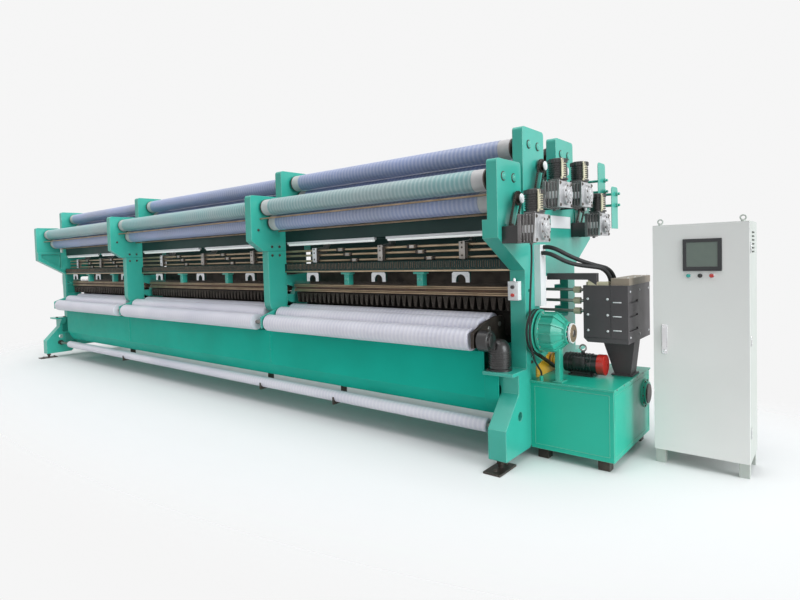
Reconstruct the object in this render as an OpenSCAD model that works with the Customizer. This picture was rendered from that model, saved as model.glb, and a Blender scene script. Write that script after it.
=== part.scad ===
// Warp knitting machine: four frames, tape-wrapped rollers, knitting zone, drive end and cabinet.
// Millimetres, X along the machine to the drive end, -Y the operator's side, Z up from the floor.

/* [Frames] */
// outer face to outer face of the two end frames
frame_span = 8550; // [8000:10:9000]
// distance between the two middle frames
mid_span = 3070; // [2800:10:3200]
// thickness of an end frame's leg
leg_t = 140; // [130:1:150]
// thickness of an end frame's post
post_t = 120; // [110:1:125]
// thickness of the roller arms of an end frame
arm_t = 80; // [70:1:90]
// thickness of a middle frame
mid_t = 90; // [80:1:100]
// reach of the roller arms to front and back
arm_reach = 920; // [910:1:940]
// top of the low roller arms
arm_top = 2210; // [2200:1:2230]
// top of the high roller arms
head_top = 2490; // [2480:1:2520]
// half depth of a leg
leg_reach = 865; // [855:1:890]

/* [Feed rollers] */
// radius of the wrapped feed roller
feed_r = 82; // [78:0.5:86]
// radius of the feed roller shaft
feed_shaft_r = 25; // [20:0.5:28]
// radial clearance of a running fit
fit = 0.06; // [0.03:0.01:0.1]
// root radius of the roller chain wheels
wheel_r = 45; // [42:0.5:48]
// pitch of the feed chains
chain_pitch = 15.875; // [12.7:0.005:19.05]

/* [Take-down] */
// radius of the wrapped take-down roller
take_r = 84; // [80:0.5:86]
// radius of the take-down roller shaft
take_shaft_r = 20; // [16:0.5:22]
// radius of the cloth roller
cloth_r = 54; // [50:0.5:56]

/* [Drive end] */
// length of the oil tank along the machine
tank_l = 600; // [590:1:630]
// height of the tank top above the floor
tank_top = 587; // [580:1:590]
// radius of the main pulley
pulley_r = 165; // [150:1:170]
// radius of the motor pulley
motor_pulley_r = 60; // [50:1:65]
// height of the pattern box
shog_h = 433; // [420:1:445]

/* [Cabinet] */
// gap from the end frame to the cabinet
cabinet_gap = 755; // [740:1:790]
// cabinet width
cabinet_w = 575; // [560:1:620]
// cabinet height
cabinet_h = 1716; // [1680:1:1760]
// cabinet depth with its door
cabinet_d = 400; // [380:1:430]

/* [Hidden] */
$fn = 48;
box_l_t = 90;
total_l = box_l_t + frame_span + cabinet_gap + cabinet_w;
xr = total_l / 2 - cabinet_gap - cabinet_w;
xl = xr - frame_span;
xc = (xr + xl) / 2;
xm_r = xc + mid_span / 2;
xm_l = xc - mid_span / 2;
pad_reach = 960;
leg_z = 75;
shelf_z = 655;
shelf_t = 25;
post_y = 505;
arm_low = 1660;
arm_z = 1790;
fork_y = 545;
high_in = 125;
high_out = 505;
bridge_z = 2090;
round_c = 30;
// feed roller axes, front low arm to back low arm, top and driven one in turn
feed_yz = [[-740, 2090], [-650, 1940], [-315, 2365], [-225, 2215],
           [315, 2365], [225, 2215], [740, 2090], [650, 1940]];
// drive shaft of each feed unit
unit_yz = [[-755, 1715], [-330, 1970], [120, 1995], [545, 1770]];
take_yz = [[-780, 915], [-610, 980], [-440, 1000]];
cloth_yz = [-650, 247];
cloth_shaft_r = 18;
swing_yz = [-250, 1800];
swing_r = 30;
bar_yz = [[-430, 1635], [-430, 1587], [-430, 1530]];
bar_r = 11;
main_yz = [-420, 960];
main_r = 25;
motor_yz = [-60, 680];
motor_shaft_r = 14;
rod_yz = [[-40, 1250], [-40, 1165], [-40, 1085]];
rod_r = 12;
bed_y = 330;
bed_top = 830;
bed_low = 330;
shog_z = 855;
shog_x = xr + 284;
shog_l = 322;
cab_x = xr + cabinet_gap;
cab_y = -35;
cab_foot = 100;
door_t = 20;
door_gap = 0.3;
wall = 15;
bays = [[xl + post_t, xm_l - mid_t / 2], [xm_l + mid_t / 2, xm_r - mid_t / 2],
        [xm_r + mid_t / 2, xr - post_t]];
drum_bays = [[xl + 150, xm_l - mid_t / 2 - 30], [xm_l + mid_t / 2 + 30, xm_r - mid_t / 2 - 30],
             [xm_r + mid_t / 2 + 30, xr - 150]];
take_bays = [[xl + 560, xm_l - 100], [xm_l + 100, xm_r - 100], [xm_r + 100, xr - 300]];
hose_r = 16;
cable_r = 7;
duct_t = 50;
gland_z = shog_z + shog_h + 12;
cable_top = unit_yz[0][1] - 110;
// routes of the two hoses from the duct to the pattern box, X from the end frame's outer face
hose_1_pts = [[duct_t, -275, 1590], [100, -275, 1590], [138, -262, 1575], [172, -236, 1548], [208, -202, 1518],
  [250, -162, 1490], [298, -116, 1468], [346, -66, 1452], [392, -14, 1440], [427, 28, 1427], [449, 60, 1403],
  [458, 78, 1370], [460, 85, 1335], [460, 85, gland_z]];
hose_2_pts = [[duct_t, -310, 1545], [96, -310, 1545], [134, -299, 1530], [168, -276, 1503], [206, -243, 1472],
  [250, -202, 1446], [300, -156, 1427], [348, -108, 1413], [390, -64, 1402], [423, -28, 1388], [443, -2, 1362],
  [451, 12, 1335], [452, 15, 1318], [452, 15, gland_z]];
// route of the cable from the front feed unit to the tank
cable_pts = [[137, -690, cable_top], [137, -690, 1560], [136, -690, 1500], [132, -690, 1420], [127, -690, 1340],
  [121, -688, 1260], [115, -684, 1180], [108, -676, 1100], [102, -664, 1020], [96, -648, 940], [91, -626, 870],
  [87, -596, 812], [85, -556, 760], [83, -510, 720], [82, -470, 694], [82, -442, 670], [82, -430, 650],
  [82, -430, tank_top + 40]];

// small helpers

module box(a, b) translate(a) cube([b[0] - a[0], b[1] - a[1], b[2] - a[2]]);

module xcyl(x0, x1, yz, r) translate([x0, yz[0], yz[1]]) rotate([0, 90, 0]) cylinder(r = r, h = x1 - x0);

module ycyl(x, y0, y1, z, r) translate([x, y0, z]) rotate([-90, 0, 0]) cylinder(r = r, h = y1 - y0);

module zcyl(x, y, z0, z1, r) translate([x, y, z0]) cylinder(r = r, h = z1 - z0);

module yz_plate(x0, x1, pts) translate([x0, 0, 0]) rotate([90, 0, 90]) linear_extrude(x1 - x0) polygon(pts);

module xz_plate(y0, y1, pts) translate([0, y1, 0]) rotate([90, 0, 0]) linear_extrude(y1 - y0) polygon(pts);

// points of an arc about c
function arc(c, r, a0, a1, n) = [for (i = [0:n]) let (a = a0 + (a1 - a0) * i / n) c + r * [cos(a), sin(a)]];

// open belt outline round two wheels, wheel a below wheel b
function belt(a, ra, b, rb) =
  let (d = b - a, l = norm(d), base = atan2(d[1], d[0]), t = acos((ra - rb) / l))
  concat(arc(b, rb, base - t, base + t, 24), arc(a, ra, base + t, base + 360 - t, 24));

// outline of a chain wheel: root circle r with n flat-topped teeth
teeth_h = 5;
function teeth(r) = let (n = round(2 * PI * r / chain_pitch), a = 360 / n)
  [for (i = [0:n - 1]) each [for (k = [[0, -0.34], [teeth_h, -0.13], [teeth_h, 0.13], [0, 0.34]])
    (r + k[0]) * [cos(a * (i + k[1])), sin(a * (i + k[1]))]]];

// tangent points of the two straight strands, wheel a then wheel b
function strands(a, ra, b, rb) =
  let (d = b - a, base = atan2(d[1], d[0]), t = acos((ra - rb) / norm(d)))
  [for (s = [-1, 1]) let (u = [cos(base + s * t), sin(base + s * t)]) [a + ra * u, b + rb * u]];

// rounded finger outline between two depths
function finger(y0, y1, z0, z1) = concat([[y0, z0]], arc([y0 + round_c, z1 - round_c], round_c, 180, 90, 5),
  arc([y1 - round_c, z1 - round_c], round_c, 90, 0, 5), [[y1, z0]]);

function mirror_y(p) = [for (i = [len(p) - 1:-1:0]) [-p[i][0], p[i][1]]];

leg_front = [[-leg_reach, leg_z], [-leg_reach, 295], [-646, 517], [-646, shelf_z]];
leg_pts = concat(leg_front, mirror_y(leg_front), [[470, leg_z], [380, 165], [-380, 165], [-470, leg_z]]);
post_front = [[-post_y, shelf_z + shelf_t], [-post_y, 1420], [-arm_reach, arm_low], [-arm_reach, arm_z]];
post_pts = concat(post_front, mirror_y(post_front));

// pockets cast into the inner side of an end frame, leaving flanges and ribs
pocket_d = 55;
pockets = [[[-560, 1515], [-868, 1694], [-868, 1762], [-560, 1762]], [[-475, 1080], [-475, 1235], [-285, 1235], [-285, 1080]],
  [[-475, 1265], [-475, 1440], [-520, 1462], [-520, 1480], [-285, 1480], [-285, 1265]],
  [[-560, 200], [-560, 400], [-370, 400], [-370, 200]], [[-600, 425], [-600, 630], [-370, 630], [-370, 425]],
  [[-475, 710], [-475, 880], [-360, 880], [-360, 710]]];

// one end frame, outer face at x = 0 and body towards -x; the drive side is bored for the shafts
module end_frame(drive) {
  difference() {
    union() {
      yz_plate(-leg_t, 0, leg_pts);
      box([-240, -740, shelf_z], [0, 740, shelf_z + shelf_t]);
      for (y = [-646, 560])
        xz_plate(y, y + 86, [[-240, shelf_z], [-leg_t, shelf_z], [-leg_t, 555]]);
      yz_plate(-post_t, 0, post_pts);
      for (s = [0, 1]) mirror([0, s, 0]) {
        yz_plate(-arm_t, 0, finger(-arm_reach, -fork_y, arm_z, arm_top));
        yz_plate(-arm_t, 0, finger(-high_out, -high_in, arm_z, head_top));
      }
      box([-arm_t, -high_in, arm_z], [0, high_in, bridge_z]);
    }
    if (drive) for (i = [1, 3, 5, 7]) xcyl(-post_t - 1, 1, feed_yz[i], feed_shaft_r + fit);
    for (p = pockets) for (m = [0, 1]) mirror([0, m, 0]) yz_plate(-leg_t - 1, pocket_d - post_t, p);
    for (s = [-1, 1]) xcyl(-leg_t - 1, 1, [s * 630, 349], 35);
    xcyl(-post_t - 1, 1, [-440, 1263], 14);
    xcyl(-post_t - 1, 1, [-417, 765], 14);
    if (drive) xcyl(-post_t - 1, 1, main_yz, main_r + fit);
    xcyl(-post_t - 1, -35, swing_yz, swing_r + fit);
    yz_plate(-post_t - 1, 1, concat(arc([-220, 1030], 30, 180, 270, 4), arc([320, 1030], 30, 270, 360, 4),
      arc([320, 1330], 30, 0, 90, 4), arc([-220, 1330], 30, 90, 180, 4)));
  }
}

module right_end_frame() color("mediumseagreen") translate([xr, 0, 0]) end_frame(true);

module left_end_frame() color("mediumseagreen") translate([xl, 0, 0]) mirror([1, 0, 0]) end_frame(false);

// one middle frame centred on x = 0: head, front post and web on the bed
module middle_frame() {
  h = mid_t / 2;
  difference() {
    union() {
      yz_plate(-h, h, [[-770, 1645], [-arm_reach, 1750], [-arm_reach, 1850], [arm_reach, 1850],
        [arm_reach, 1750], [770, 1645]]);
      for (s = [0, 1]) mirror([0, s, 0]) {
        yz_plate(-h, h, finger(-arm_reach, -fork_y, 1850, arm_top));
        yz_plate(-h, h, finger(-high_out, -high_in, 1850, head_top));
      }
      yz_plate(-h, h, concat([[-470, 1645], [-715, 1645]], arc([-615, 1110], 100, 180, 270, 5),
        arc([-570, 1110], 100, 270, 360, 5)));
      yz_plate(-30, 30, [[-470, 1390], [-470, 1290], [-330, 1250], [-360, 1180], [-470, 1180], [-470, 1120],
        [-400, 1090], [-330, 1090], [-250, bed_top], [250, bed_top], [250, 1645], [130, 1645],
        [130, 1400], [-150, 1400], [-300, 1390]]);
    }
    for (p = feed_yz) xcyl(-h - 1, h + 1, p, feed_shaft_r + fit);
    xcyl(-h - 1, h + 1, swing_yz, swing_r + fit);
    box([-h - 1, -470, 1640], [h + 1, -120, 1735]);
  }
}

module middle_frames() color("mediumseagreen") for (x = [xm_r, xm_l]) translate([x, 0, 0]) middle_frame();

// hollow bed beam between the legs
module bed_beam() color("seagreen") difference() {
  box([xl + leg_t, -bed_y, bed_low], [xr - leg_t, bed_y, bed_top]);
  box([xl + leg_t - 1, -bed_y + 20, bed_low + 20], [xr - leg_t + 1, bed_y - 20, bed_top - 20]);
  for (x = [xl - 1, xr - 241]) box([x, -400, shelf_z - 1], [x + 242, 400, shelf_z + shelf_t + 1]);
}

// bent cover in front of the bed, top and bottom flanges on the beam
module bed_panel() color("lightseagreen") yz_plate(xl + leg_t + 450, xr - 256,
  [[-bed_y, 809], [-bed_y, 815], [-686, 815], [-686, 464], [-608, 336], [-bed_y, 336],
   [-bed_y, 342], [-604, 342], [-680, 466], [-680, 809]]);

module upper_beam() color("darkslategray") for (b = bays) {
  difference() {
    box([b[0], -470, 1735], [b[1], -350, 1875]);
    box([b[0] + 60, -455, 1750], [b[1] - 60, -340, 1860]);
  }
  box([b[0], 300, 1735], [b[1], 420, 1875]);
}

module lamp_strips() color("white") for (b = bays) {
  m = (b[0] + b[1]) / 2;
  for (e = [[b[0] + 25, m - 70], [m + 70, b[1] - 25]]) {
    box([e[0], -470, 1712], [e[1], -430, 1735]);
    xcyl(e[0] + 12, e[1] - 12, [-450, 1706], 12);
  }
}

// yarn comb bar with slots, and the arch brackets under it
module yarn_comb() color("darkslategray") for (b = bays) {
  n = floor((b[1] - b[0] - 80) / 60);
  difference() {
    box([b[0], -492, 1415], [b[1], -472, 1506]);
    for (i = [0:n - 1])
      box([b[0] + 60 + i * 60, -493, 1440], [b[0] + 66 + i * 60, -471, 1507]);
  }
  for (k = [0:2]) {
    x = b[0] + (b[1] - b[0]) * (k + 0.5) / 3;
    xz_plate(-500, -470, concat([[x - 75, 1415], [x - 75, 1330], [x - 45, 1330]],
      arc([x, 1345], 45, 180, 0, 8), [[x + 45, 1330], [x + 75, 1330], [x + 75, 1415]]));
  }
}

// fixed needle bed on legs, with the row of lead blocks and the lifter bores
module needle_bed() color("dimgray") for (b = bays) {
  n = floor((b[1] - b[0] - 100) / 62);
  w = (b[1] - b[0] - 100) / n;
  difference() {
    union() {
      box([b[0] + 20, -330, 1090], [b[1] - 20, -230, 1200]);
      for (k = [0:3]) {
        x = b[0] + 330 + (b[1] - b[0] - 660) * k / 3;
        box([x - 30, -330, bed_top], [x + 30, -230, 1090]);
      }
      for (i = [0:n - 1]) {
        x = b[0] + 50 + w * (i + 0.5);
        xz_plate(-380, -330, [[x - 26, 1200], [x - 12, 1096], [x + 12, 1096], [x + 26, 1200]]);
      }
    }
    for (k = [0:2]) {
      x = b[0] + (b[1] - b[0]) * (k + 0.5) / 3;
      zcyl(x, -280, 1000, 1201, 14 + fit);
    }
  }
}

// moving needle bar: two rails, needles between them and three lifter rods in each bay
module needle_bar() color("sienna") for (b = bays) {
  box([b[0] + 30, -390, 1210], [b[1] - 30, -250, 1240]);
  box([b[0] + 30, -370, 1240], [b[1] - 30, -330, 1258]);
  box([b[0] + 30, -390, 1258], [b[1] - 30, -300, 1288]);
  for (k = [0:2]) {
    x = b[0] + (b[1] - b[0]) * (k + 0.5) / 3;
    zcyl(x, -280, 1120, 1212, 14);
  }
}

// swing shaft with three hangers in each bay, bored for the guide bars
module guide_swing() color("gainsboro") {
  xcyl(xl + 40, xr - 40, swing_yz, swing_r);
  for (b = bays) for (k = [0:2]) {
    x = b[0] + (b[1] - b[0]) * (k + 0.5) / 3;
    difference() {
      union() {
        xcyl(x - 25, x + 25, swing_yz, 44);
        yz_plate(x - 12, x + 12, [[-215, 1790], [-285, 1790], [-330, 1672], [-452, 1662], [-452, 1512],
          [-404, 1512], [-404, 1600], [-300, 1612], [-250, 1680]]);
      }
      for (p = bar_yz) xcyl(x - 30, x + 30, p, bar_r + fit);
    }
  }
}

// one guide bar rod with the guide blocks it carries
module guide_bar(i) color("tan") {
  xcyl(xl + 200, xr - 200, bar_yz[i], bar_r);
  for (b = bays) for (k = [0:1]) {
    x = b[0] + (b[1] - b[0]) * (k + 1) / 3 + (i - 1) * 90;
    box([x - 28, -446, bar_yz[i][1] - 15], [x + 28, -414, bar_yz[i][1] + 15]);
  }
}

module guide_bar_1() guide_bar(0);

module guide_bar_2() guide_bar(1);

module guide_bar_3() guide_bar(2);

// push rod from the pattern box to the guide bars, with its adjusting sleeve
module push_rod(i) color("wheat") {
  xcyl(xr - 180, shog_x + 40, rod_yz[i], rod_r);
  xcyl(shog_x - 90, shog_x - 40, rod_yz[i], 26);
  xcyl(xr - 200, xr - 170, rod_yz[i], 22);
}

module push_rod_1() push_rod(0);

module push_rod_2() push_rod(1);

module push_rod_3() push_rod(2);

// one feed roller line: shaft, three drums with end discs, chain wheel on the driven ones
module feed_roller(i) color("lightsteelblue") {
  driven = (i % 2 == 1);
  xcyl(xl + 85, driven ? xr + 52 : xr - 85, feed_yz[i], feed_shaft_r);
  for (d = drum_bays) {
    xcyl(d[0], d[1], feed_yz[i], feed_r - 2);
    xcyl(d[0] + 110, d[1] - 110, feed_yz[i], feed_r);
    xcyl(d[0], d[0] + 12, feed_yz[i], feed_r);
    xcyl(d[1] - 12, d[1], feed_yz[i], feed_r);
  }
  if (driven) {
    xcyl(xr + 10, xr + 22, feed_yz[i], 34);
    translate([0, feed_yz[i][0], feed_yz[i][1]]) yz_plate(xr + 22, xr + 30, teeth(wheel_r));
    xcyl(xr + 30, xr + 52, feed_yz[i], 34);
  }
}

module feed_roller_1() feed_roller(0);

module feed_roller_2() feed_roller(1);

module feed_roller_3() feed_roller(2);

module feed_roller_4() feed_roller(3);

module feed_roller_5() feed_roller(4);

module feed_roller_6() feed_roller(5);

module feed_roller_7() feed_roller(6);

module feed_roller_8() feed_roller(7);

// output shaft and chain wheel of one feed reducer
module drive_wheel(i) color("dimgray") {
  xcyl(xr + 10, xr + 200, unit_yz[i], 16);
  xcyl(xr + 10, xr + 22, unit_yz[i], 28);
  translate([0, unit_yz[i][0], unit_yz[i][1]]) yz_plate(xr + 22, xr + 30, teeth(wheel_r - 5));
  xcyl(xr + 30, xr + 44, unit_yz[i], 28);
}

module drive_wheel_1() drive_wheel(0);

module drive_wheel_2() drive_wheel(1);

module drive_wheel_3() drive_wheel(2);

module drive_wheel_4() drive_wheel(3);

// four roller chains: link plates on both sides of the wheels and rollers on the straight strands
plate_w = 12;
chain_x = [xr + 19.2, xr + 30.3];
plate_t = 2.5;
module feed_chains() color("black") for (i = [0:3]) {
  a = unit_yz[i];
  b = feed_yz[2 * i + 1];
  for (x = chain_x) difference() {
    yz_plate(x, x + plate_t, belt(a, wheel_r - 5 + plate_w, b, wheel_r + plate_w));
    yz_plate(x - 1, x + plate_t + 1, belt(a, wheel_r - 5, b, wheel_r));
  }
  for (l = strands(a, wheel_r - 5 + plate_w / 2, b, wheel_r + plate_w / 2)) {
    n = floor(norm(l[1] - l[0]) / chain_pitch) - 1;
    for (k = [1:n])
      xcyl(chain_x[0] + plate_t, chain_x[1], l[0] + (l[1] - l[0]) * (k + 0.5) / (n + 2), 5);
  }
}

// four right-angle worm reducers with a mounting plate, a ribbed body and a round cover
module feed_reducers() color("silver") for (u = unit_yz) difference() {
  union() {
    box([xr + 125, u[0] - 125, u[1] - 98], [xr + 150, u[0] + 125, u[1] + 98]);
    box([xr + 150, u[0] - 105, u[1] - 85], [xr + 232, u[0] + 105, u[1] + 85]);
    for (k = [0:2]) box([xr + 160 + k * 24, u[0] - 116, u[1] - 92], [xr + 168 + k * 24, u[0] + 116, u[1] + 92]);
    box([xr + 232, u[0] - 120, u[1] - 95], [xr + 250, u[0] + 120, u[1] + 95]);
    xcyl(xr + 250, xr + 272, u, 78);
    xcyl(xr + 272, xr + 280, u, 50);
    box([xr + 120 + 30, u[0] - 75, u[1] + 85], [xr + 232, u[0] + 75, u[1] + 110]);
    zcyl(xr + 137, u[0] + 65, u[1] - 110, u[1] - 97, 12);
  }
  xcyl(xr + 100, xr + 201, u, 16 + fit);
}

// black side brackets and the upright ribbed motors of the feed units
module feed_motors() color([0.12, 0.12, 0.13]) for (u = unit_yz) {
  for (s = [-1, 1]) {
    y = u[0] + s * 98;
    box([xr, y - 10, u[1] - 96], [xr + 125, y + 10, u[1] + 24]);
  }
  zcyl(xr + 191, u[0], u[1] + 110, u[1] + 122, 72);
  zcyl(xr + 191, u[0], u[1] + 122, u[1] + 250, 58);
  for (k = [0:5]) zcyl(xr + 191, u[0], u[1] + 134 + k * 16, u[1] + 141 + k * 16, 66);
  zcyl(xr + 191, u[0], u[1] + 232, u[1] + 262, 68);
  zcyl(xr + 191 + 52, u[0] - 52, u[1] + 122, u[1] + 250, 6);
  zcyl(xr + 191 + 48, u[0] - 48, u[1] + 110, u[1] + 126, 13);
}

// one take-down roller line
module takedown_roller(i) color("lavender") {
  xcyl(xl + 490, xr - (i == 0 ? 195 : 245), take_yz[i], take_shaft_r);
  for (d = take_bays) {
    xcyl(d[0], d[1], take_yz[i], take_r - 3);
    xcyl(d[0] + 6, d[1] - 6, take_yz[i], take_r);
  }
}

module takedown_roller_1() takedown_roller(0);

module takedown_roller_2() takedown_roller(1);

module takedown_roller_3() takedown_roller(2);

// gearmotor on the shelf that turns the front take-down roller
module takedown_gearmotor() color([0.1, 0.1, 0.11]) difference() {
  union() {
    box([xr - 232, -855, 842], [xr - 135, -705, 986]);
    box([xr - 232, -740, 800], [xr - 135, -600, 930]);
    zcyl(xr - 184, -672, 690, 800, 60);
    for (k = [0:4]) zcyl(xr - 184, -672, 704 + k * 18, 711 + k * 18, 66);
    zcyl(xr - 184, -672, shelf_z + shelf_t, 694, 66);
    xcyl(xr - 135, xr - 124, [-780, 915], 52);
  }
  xcyl(xr - 240, xr - 190, take_yz[0], take_shaft_r + fit);
}

module cloth_roller() color("lavender") {
  xcyl(xl + leg_t + 6, xr - leg_t - 6, cloth_yz, cloth_shaft_r);
  xcyl(xl + 560, xr - 250, cloth_yz, cloth_r - 3);
  xcyl(xl + 566, xr - 256, cloth_yz, cloth_r);
}

// bearing blocks of the feed rollers, take-down brackets, cloth roller bearings and rests
module roller_brackets() color("peru") {
  for (i = [0:7]) for (e = [0, 1]) if (e == 0 || i % 2 == 0) difference() {
    x = e == 0 ? xl + arm_t : xr - arm_t - 38;
    xcyl(x, x + 38, feed_yz[i], 46);
    xcyl(x - 1, x + 39, feed_yz[i], feed_shaft_r + fit);
  }
  for (x = [xl + 505, xm_l + mid_t / 2 + 1, xm_r + mid_t / 2 + 1, xr - 272]) difference() {
    yz_plate(x, x + 24, [[-200, bed_top], [-200, 850], [-330, 900], [-380, 1060], [-500, 1062], [-690, 1030],
      [-850, 975], [-850, 860], [-640, 890], [-400, 860], [-340, bed_top]]);
    for (p = take_yz) xcyl(x - 1, x + 25, p, take_shaft_r + fit);
  }
  for (x = [xl + leg_t, xr - leg_t - 60]) difference() {
    xcyl(x, x + 60, cloth_yz, 38);
    xcyl(x - 1, x + 61, cloth_yz, cloth_shaft_r + fit);
  }
  for (x = [xm_l - 200, xm_r - 180, xm_r + 900]) difference() {
    box([x, -716, 176], [x + 12, -520, 336]);
    xcyl(x - 1, x + 13, cloth_yz, cloth_r + 1);
    box([x - 1, -717, 247], [x + 13, -592, 337]);
  }
}

// floor pads with stud and locknut under the end frames
module levelling_feet() color("dimgray") for (x = [xr - 70, xl + 70]) for (s = [-1, 1]) {
  box([x - 65, s < 0 ? -pad_reach : 700, 0], [x + 65, s < 0 ? -700 : pad_reach, 14]);
  zcyl(x, s * 815, 14, leg_z, 18);
  translate([x, s * 815, 44]) cylinder(r = 32, h = 18, $fn = 6);
}

// oil tank on short feet with a round inspection cover
module oil_tank() color("mediumaquamarine") {
  box([xr, -447, leg_z], [xr + tank_l, 475, tank_top - 12]);
  box([xr, -457, tank_top - 12], [xr + tank_l + 8, 485, tank_top]);
  for (x = [xr + 40, xr + tank_l - 120]) for (y = [-420, 370]) box([x, y, 0], [x + 80, y + 80, leg_z]);
  xcyl(xr + tank_l, xr + tank_l + 10, [345, 408], 112);
  xcyl(xr + tank_l + 10, xr + tank_l + 26, [345, 408], 92);
  zcyl(xr + 82, -430, tank_top - 1, tank_top + 40, 14);
}

// main motor on its foot, with the fan cap and the eye bolt boss
module main_motor() color([0.1, 0.1, 0.1]) difference() {
  union() {
    xcyl(xr + 130, xr + 380, motor_yz, 74);
    for (k = [0:7]) xcyl(xr + 160 + k * 24, xr + 168 + k * 24, motor_yz, 80);
    xcyl(xr + 120, xr + 130, motor_yz, 60);
    xcyl(xr + 380, xr + 432, motor_yz, 79);
    box([xr + 170, motor_yz[0] - 70, tank_top], [xr + 350, motor_yz[0] + 70, tank_top + 14]);
    box([xr + 190, motor_yz[0] - 45, tank_top + 14], [xr + 330, motor_yz[0] + 45, motor_yz[1] - 50]);
    zcyl(xr + 262, motor_yz[0], motor_yz[1] + 70, motor_yz[1] + 92, 14);
  }
  xcyl(xr + 110, xr + 181, motor_yz, motor_shaft_r + fit);
}

module motor_pulley() color("gold") {
  xcyl(xr + 18, xr + 180, motor_yz, motor_shaft_r);
  for (k = [0:1]) {
    xcyl(xr + 26 + k * 24, xr + 30 + k * 24, motor_yz, motor_pulley_r);
    xcyl(xr + 30 + k * 24, xr + 50 + k * 24, motor_yz, motor_pulley_r - 12);
  }
  xcyl(xr + 74, xr + 78, motor_yz, motor_pulley_r);
}

module main_pulley() color("seagreen") {
  xcyl(xr - 110, xr + 330, main_yz, main_r);
  for (k = [0:1]) {
    xcyl(xr + 26 + k * 24, xr + 30 + k * 24, main_yz, pulley_r);
    xcyl(xr + 30 + k * 24, xr + 50 + k * 24, main_yz, pulley_r - 12);
  }
  xcyl(xr + 74, xr + 78, main_yz, pulley_r);
  xcyl(xr + 306, xr + 320, main_yz, 72);
}

// two V-belts lying in the pulley grooves
module drive_belts() color([0.08, 0.08, 0.08]) for (k = [0:1]) difference() {
  yz_plate(xr + 33 + k * 24, xr + 47 + k * 24, belt(motor_yz, motor_pulley_r + 2, main_yz, pulley_r + 2));
  yz_plate(xr + 32 + k * 24, xr + 48 + k * 24, belt(motor_yz, motor_pulley_r - 11.2, main_yz, pulley_r - 11.2));
}

// finned clutch and brake housing round the main shaft, on a foot on the tank
module clutch_housing() color("seagreen") difference() {
  union() {
    xcyl(xr + 90, xr + 296, main_yz, 136);
    for (k = [0:8]) xcyl(xr + 100 + k * 21, xr + 108 + k * 21, main_yz, 154);
    xcyl(xr + 84, xr + 90, main_yz, 60);
    box([xr + 120, -444, tank_top], [xr + 270, -374, 840]);
    box([xr + 100, -446, tank_top], [xr + 290, -340, tank_top + 16]);
  }
  xcyl(xr + 80, xr + 300, main_yz, main_r + fit);
}

// pattern box that shogs the guide bars: stand, body with slots, lid and terminal strips
module pattern_box() color([0.25, 0.25, 0.27]) difference() {
  union() {
    xz_plate(60, 210, [[xr + 456, tank_top + 12], [xr + 372, shog_z], [xr + 604, shog_z], [xr + 572, tank_top + 12]]);
    box([xr + 440, 40, tank_top], [xr + 588, 230, tank_top + 12]);
    xz_plate(-104, 495, [[shog_x, shog_z + 30], [shog_x, shog_z + shog_h], [shog_x + shog_l, shog_z + shog_h],
      [shog_x + shog_l, shog_z], [shog_x + 30, shog_z]]);
    box([shog_x + 200, -90, shog_z + shog_h], [shog_x + shog_l + 6, 490, shog_z + shog_h + 52]);
    box([shog_x + 20, -92, shog_z + shog_h], [shog_x + 180, -30, shog_z + shog_h + 26]);
    zcyl(xr + 460, 85, shog_z + shog_h - 1, gland_z, 22);
    zcyl(xr + 452, 15, shog_z + shog_h - 1, gland_z, 22);
    box([xr, -100, 1330], [shog_x + 100, -50, 1380]);
    box([shog_x + 36, -100, shog_z + shog_h], [shog_x + 100, -50, 1331]);
  }
  for (p = rod_yz) xcyl(shog_x - 1, shog_x + 80, p, rod_r + fit);
  for (k = [0:2]) box([shog_x + shog_l - 8, -70, shog_z + 88 + k * 105], [shog_x + shog_l + 1, 150, shog_z + 106 + k * 105]);
}

// open sheet cabinet on feet with its mounting plate
module cabinet_body() color("whitesmoke") {
  y0 = cab_y + door_t + door_gap;
  difference() {
    box([cab_x, y0, cab_foot], [cab_x + cabinet_w, cab_y + cabinet_d, cabinet_h]);
    box([cab_x + wall, y0 - 1, cab_foot + wall], [cab_x + cabinet_w - wall, cab_y + cabinet_d - wall, cabinet_h - wall]);
    for (k = [0:5]) box([cab_x - 1, 90, cabinet_h - 210 + k * 26], [cab_x + cabinet_w + 1, 230, cabinet_h - 198 + k * 26]);
  }
  box([cab_x + 60, cab_y + cabinet_d - wall - 14, cab_foot + 120],
      [cab_x + cabinet_w - 60, cab_y + cabinet_d - wall, cabinet_h - 120]);
  for (x = [cab_x + 5, cab_x + cabinet_w - 65]) for (y = [y0 + 5, cab_y + cabinet_d - 65])
    box([x, y, 0], [x + 60, y + 60, cab_foot]);
  for (x = [cab_x + 40, cab_x + cabinet_w - 40]) {
    zcyl(x, cab_y + 60, cabinet_h, cabinet_h + 10, 14);
    translate([x, cab_y + 60, cabinet_h + 26]) rotate([90, 0, 0]) rotate_extrude() translate([16, 0]) circle(r = 5);
  }
}

btn_x = [cab_x + 227, cab_x + 295, cab_x + 364];
btn_z = cabinet_h - 358;
handle_x = cab_x + 73;
handle_z = cabinet_h - 852;
scr = [cab_x + 193, cabinet_h - 324, cab_x + 421, cabinet_h - 107];

// door with the bores for its controls and the opening behind the screen
module cabinet_door() color("whitesmoke") difference() {
  box([cab_x + 2, cab_y, cab_foot + 3], [cab_x + cabinet_w, cab_y + door_t, cabinet_h - 3]);
  for (x = btn_x) ycyl(x, cab_y - 1, cab_y + door_t + 1, btn_z, 8 + fit);
  ycyl(handle_x, cab_y - 1, cab_y + door_t + 1, handle_z, 9 + fit);
  box([scr[0] + 24, cab_y - 1, scr[1] + 24], [scr[2] - 24, cab_y + door_t + 1, scr[3] - 24]);
}

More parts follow.
